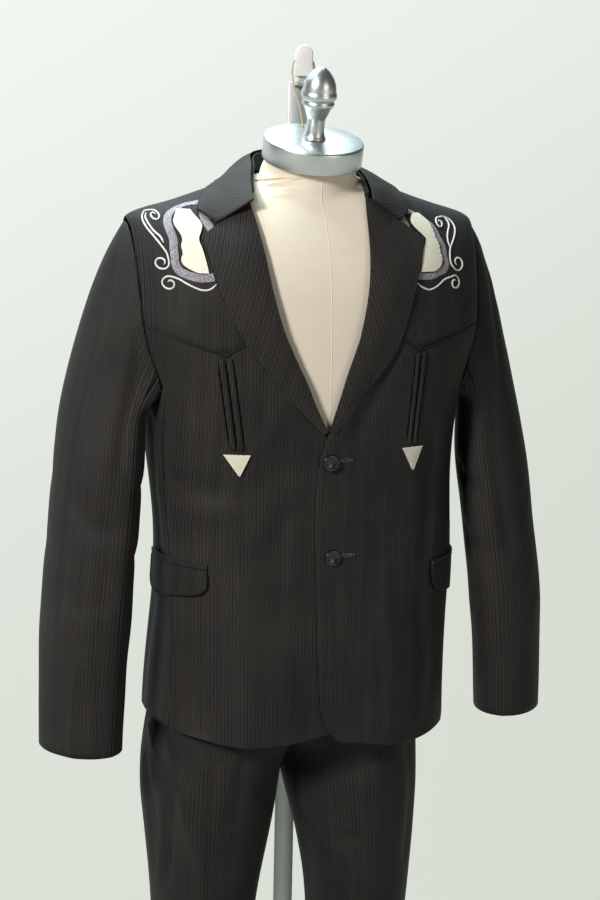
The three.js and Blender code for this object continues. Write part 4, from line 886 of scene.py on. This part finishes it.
for side, sign in (("Right", -1), ("Left", 1)):
    plan = ornament[side]
    shape = bmesh.new()
    for scroll in plan["scrolls"]:
        cordOn(shape, [laid(sign * x, z) for x, z in scrollLine(scroll)], *ornament["cord"], 0.6, taper=5)
    finishObject("ShoulderScrolls" + side, shape, "whiteCord")

    shape = bmesh.new()
    for path in (plan["band"], plan["notch"]):
        middle = [laid(sign * p.x, p.y) for p in flowing(path, 8)]
        cordOn(shape, middle, plan["bandWidth"] / 2, 0.5, 0.2, sides=10, taper=2)
    finishObject("ShoulderBand" + side, shape, "bandStitch")

    clothPanel("ShoulderApplique" + side, outwardTorso, faceGrain, "creamCloth", ripple=0.6,
               dip=0.5, seed=40)
    clothPanel("Arrowhead" + side, outwardTorso, faceGrain, "creamCloth", ripple=0.2, dip=0.5)
    shape = bmesh.new()
    for x, z in plan["dimples"]:
        point, normal = laid(sign * x, z)
        facing = normal.to_track_quat("Z", "Y").to_matrix().to_4x4()
        spot = Matrix.Translation(point + normal * 1.5 * mm) @ facing @ Matrix.Diagonal((1, 1, 0.4, 1))
        bmesh.ops.create_icosphere(shape, subdivisions=2, radius=1.5 * mm, matrix=spot)
    finishObject("AppliqueKnots" + side, shape, "oliveThread")
print("shoulder ornament laid")


# buttons and buttonholes, in millimetres
button = {"radius": 10, "height": 3.6, "places": [(0, 1250), (5, 1132)], "hole": 0.9, "spread": 2.1,
          "clear": 0.4}


# spins (radius, height) pairs about the Z of place
def turned(profile, place, segments=64):
    shape = bmesh.new()
    rings = []
    for radius, height in profile:
        if radius < 1e-6:
            rings.append([shape.verts.new(place @ Vector((0, 0, height * mm)))])
        else:
            angles = [2 * math.pi * k / segments for k in range(segments)]
            rings.append([shape.verts.new(place @ Vector((
                radius * mm * math.cos(a), radius * mm * math.sin(a), height * mm))) for a in angles])
    for low, high in zip(rings, rings[1:]):
        for k in range(segments):
            n = (k + 1) % segments
            if len(low) == 1:
                shape.faces.new((low[0], high[n], high[k]))
            elif len(high) == 1:
                shape.faces.new((low[k], low[n], high[0]))
            else:
                shape.faces.new((low[k], low[n], high[n], high[k]))
    bmesh.ops.recalc_face_normals(shape, faces=shape.faces)
    return shape


def creaseShading(made, angle=38):
    made.data.set_sharp_from_angle(angle=math.radians(angle))


for i in range(len(button["places"])):
    low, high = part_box("Button%d" % (i + 1))
    centre = Vector(((low[0] + high[0]) / 2, high[1], (low[2] + high[2]) / 2))
    place = Matrix.Translation(centre) @ Matrix.Rotation(math.pi / 2, 4, "X")
    r, h = button["radius"], button["height"]
    shape = turned([(0, 0), (r - 1, 0), (r - 0.25, 0.3), (r, 1), (r, h - 1.2), (r - 0.3, h - 0.45),
                    (r - 1, h), (r - 2.2, h), (r - 2.9, h - 0.35), (r - 3.6, h - 0.95), (0, h - 1.0)], place)
    made = finishObject("ButtonDisc%d" % (i + 1), shape, "buttonPlastic",
                        ("Button%d" % (i + 1),))
    shape = bmesh.new()
    for k in range(4):
        a = math.pi / 4 + k * math.pi / 2
        spot = place @ Matrix.Translation(Vector((math.cos(a), math.sin(a), 0)) * button["spread"] * mm
                                          + Vector((0, 0, (h - 1.0) * mm)))
        bmesh.ops.create_cone(shape, cap_ends=True, segments=16, radius1=button["hole"] * mm,
                              radius2=button["hole"] * mm, depth=0.12 * mm, matrix=spot)
    for k in range(2):
        a = math.pi / 4 + k * math.pi / 2
        reach = Vector((math.cos(a), math.sin(a), 0)) * button["spread"] * mm
        line = [(place @ (reach * t + Vector((0, 0, (h - 0.7 + 0.25 * (1 - t * t)) * mm))),
                 place.to_3x3() @ Vector((0, 0, 1)))
                for t in (-1, -0.5, 0, 0.5, 1)]
        cordOn(shape, line, 0.45, 0.35)
    finishObject("ButtonThread%d" % (i + 1), shape, "darkThread")

buttonhole = {"length": 23, "gap": 1.3, "wide": 1.0, "offset": 6, "rise": 1.6, "slope": 0.02}
for i, (x, z) in enumerate(button["places"]):
    shape = bmesh.new()
    start = x + buttonhole["offset"]
    end = start + buttonhole["length"]
    loop = []
    for k in range(36):
        a = 2 * math.pi * k / 36
        u = (start + end) / 2 + (end - start) / 2 * math.cos(a)
        loop.append(laid(u, z + buttonhole["rise"] + buttonhole["gap"] * math.sin(a)
                         + (u - start) * buttonhole["slope"]))
    cordOn(shape, loop, buttonhole["wide"], 0.6, 0.3, sides=6, closed=True)
    finishObject("Buttonhole%d" % (i + 1), shape, "darkThread")
print("buttons and buttonholes made")

# dress form, neck cap and knob
clothPanel("DressForm", outwardTorso, faceGrain, "formCanvas", ripple=0.4, dip=0)
form = cloth["DressForm"]
formTree = BVHTree.FromPolygons([v.co.copy() for v in form.data.vertices],
                                [list(f.vertices) for f in form.data.polygons])
shape = bmesh.new()
for sign in (-1, 0, 1):
    line = []
    for k in range(70):
        z = 1.02 + 0.565 * k / 69
        x = sign * (0.088 + 0.012 * math.sin((z - 1.0) * 9))
        point, normal, _, _ = formTree.ray_cast(Vector((x, -0.5, z)), Vector((0, 1, 0)))
        if point is not None:
            line.append((point, normal if normal.y < 0 else -normal))
    cordOn(shape, line, 0.8, 0.35, sides=6)
finishObject("FormSeams", shape, "formCanvas")

cap = {"centre": (0, -40, 1633), "tilt": 17, "radius": 61.5, "height": 27}
capTurn = Matrix.Translation(Vector(cap["centre"]) * mm) @ Matrix.Rotation(math.radians(cap["tilt"]), 4, "X")
r, h = cap["radius"], cap["height"]
made = finishObject("NeckCapTurned", turned([
    (0, -h), (r - 1.5, -h), (r - 0.4, -h + 0.4), (r, -h + 1.5), (r, -3.2), (r - 0.3, -1.7), (r - 1.1, -0.6),
    (r - 2.6, 0), (r * 0.6, 0), (0, 0)], capTurn, 96), "capSteel", ("NeckCap",))
creaseShading(made)
knobTurn = capTurn @ Matrix.Translation((0, 0, 0.3 * mm))
knobProfile = [
    (0, 0), (13.4, 0), (14, 0.7), (14, 2.2), (13.2, 3), (12, 6), (11.1, 10), (10.8, 16), (11.1, 24),
    (11.8, 27.4), (12.6, 28.4), (15, 34), (17.2, 39.4), (18.4, 41), (19.6, 42.6), (20, 44.5), (19.7, 46.4),
    (18.7, 47.6), (18.6, 48.6), (20, 49.4), (21.4, 51), (22, 54), (21.7, 57), (20.7, 58.8), (20.3, 60),
    (20, 64), (18.9, 69), (16.8, 74), (13.6, 79), (9.6, 83.4), (5.2, 86.8), (2, 87.9), (0, 88)]
made = finishObject("KnobTurned", turned(knobProfile, knobTurn), "capSteel", ("Knob",))
creaseShading(made, 60)


# stand, hook and loop
def hardPiece(name, newName, finish, bevel):
    shape = copyNode(name)
    bmesh.ops.dissolve_limit(shape, angle_limit=math.radians(1), verts=shape.verts, edges=shape.edges)
    bmesh.ops.bevel(shape, geom=sharpEdges(shape, 40), offset=bevel * mm, segments=3, profile=0.5,
                    affect="EDGES", clamp_overlap=True)
    made = finishObject(newName, shape, finish, (name,))
    creaseShading(made, 30)
    return made


hardPiece("StandUpright", "UprightBar", "standSteel", 0.8)
hardPiece("HookArm", "HookArmBar", "standSteel", 0.6)
hardPiece("StandBase", "BasePlate", "standSteel", 1.2)
hardPiece("HookTip", "HookTipCover", "tipPlastic", 0.5)
loopShape = subdivided(copyNode("HangingLoop"), 2)
finishObject("HangingLoopWire", loopShape, "brassWire", ("HangingLoop",))
print("form and stand made")


# the backdrop, in metres: painted light, glowing brighter higher up, further back and towards -X
room = {"low": (0.600, 0.632, 0.545), "high": (0.90, 0.96, 0.915), "front": -7.0, "bend": 6.8, "curve": 2.2,
        "top": 7.0, "reach": 11.0, "start": 0.22, "rise": 0.12, "away": 0.055, "right": 0.07}


# one sweep of floor and wall without an edge between them
def backdrop():
    profile = [(room["front"], 0.0), (room["bend"], 0.0)]
    for i in range(1, 25):
        a = math.pi / 2 * i / 24
        profile.append((room["bend"] + room["curve"] * math.sin(a), room["curve"] * (1 - math.cos(a))))
    profile.append((room["bend"] + room["curve"], room["top"]))
    shape = bmesh.new()
    rows = [[shape.verts.new((x * room["reach"], y, z)) for x in (-1, 1)] for y, z in profile]
    for low, high in zip(rows, rows[1:]):
        shape.faces.new((low[0], low[1], high[1], high[0]))
    mesh = meshOf("backdrop", shape)
    for face in mesh.polygons:
        face.use_smooth = True
    made = addObject("backdrop", mesh)
    # painted light: the backdrop glows in its own graded colour instead of being lit by the lamps
    finish, tree, shader = newFinish("backdrop", (0.02, 0.02, 0.02), 1.0, Emission_Strength=1.0,
                                     Specular_IOR_Level=0.0)
    parts = node(tree, "ShaderNodeSeparateXYZ")
    wire(tree, (solidCoords(tree), parts.inputs[0]))
    rise = plus(tree, times(tree, parts.outputs[2], room["rise"]),
                times(tree, parts.outputs[1], room["away"]))
    share = math2(tree, "SUBTRACT", plus(tree, rise, room["start"]),
                  times(tree, parts.outputs[0], room["right"]))
    wire(tree, (blend2(tree, share, room["low"], room["high"]), shader.inputs["Emission Color"]))
    mesh.materials.append(finish)
    made.visible_diffuse = False


backdrop()

# lamps, in metres and watts
lamps = {
    "ceiling": {"place": (-0.4, 0.9, 3.4), "aim": (0, 0, 1.3), "size": (2.4, 1.6), "power": 120,
                "colour": (0.80, 0.97, 1.0)},
    "window": {"place": (-2.5, -1.9, 2.8), "aim": (0, 0, 1.2), "size": (0.6, 0.6), "power": 116,
               "colour": (1.0, 0.97, 0.93)},
    "fill": {"place": (1.6, -3.2, 1.7), "aim": (0, 0, 1.1), "size": (1.6, 1.6), "power": 24,
             "colour": (1.0, 0.94, 0.88)},
}
for name, lamp in lamps.items():
    data = bpy.data.lights.new(name, "AREA")
    data.shape = "RECTANGLE"
    data.size, data.size_y = lamp["size"]
    data.energy = lamp["power"]
    data.color = lamp["colour"]
    made = addObject(name, data)
    made.location = lamp["place"]
    made.rotation_euler = (Vector(lamp["aim"]) - Vector(lamp["place"])).to_track_quat("-Z", "Y").to_euler()
world = bpy.data.worlds.new("studio")
scene.world = world
world.use_nodes = True
world.node_tree.nodes["Background"].inputs[0].default_value = (0.87, 0.90, 0.87, 1)
world.node_tree.nodes["Background"].inputs[1].default_value = 0.10
scene.view_settings.view_transform = "Standard"
print("stage and light set")
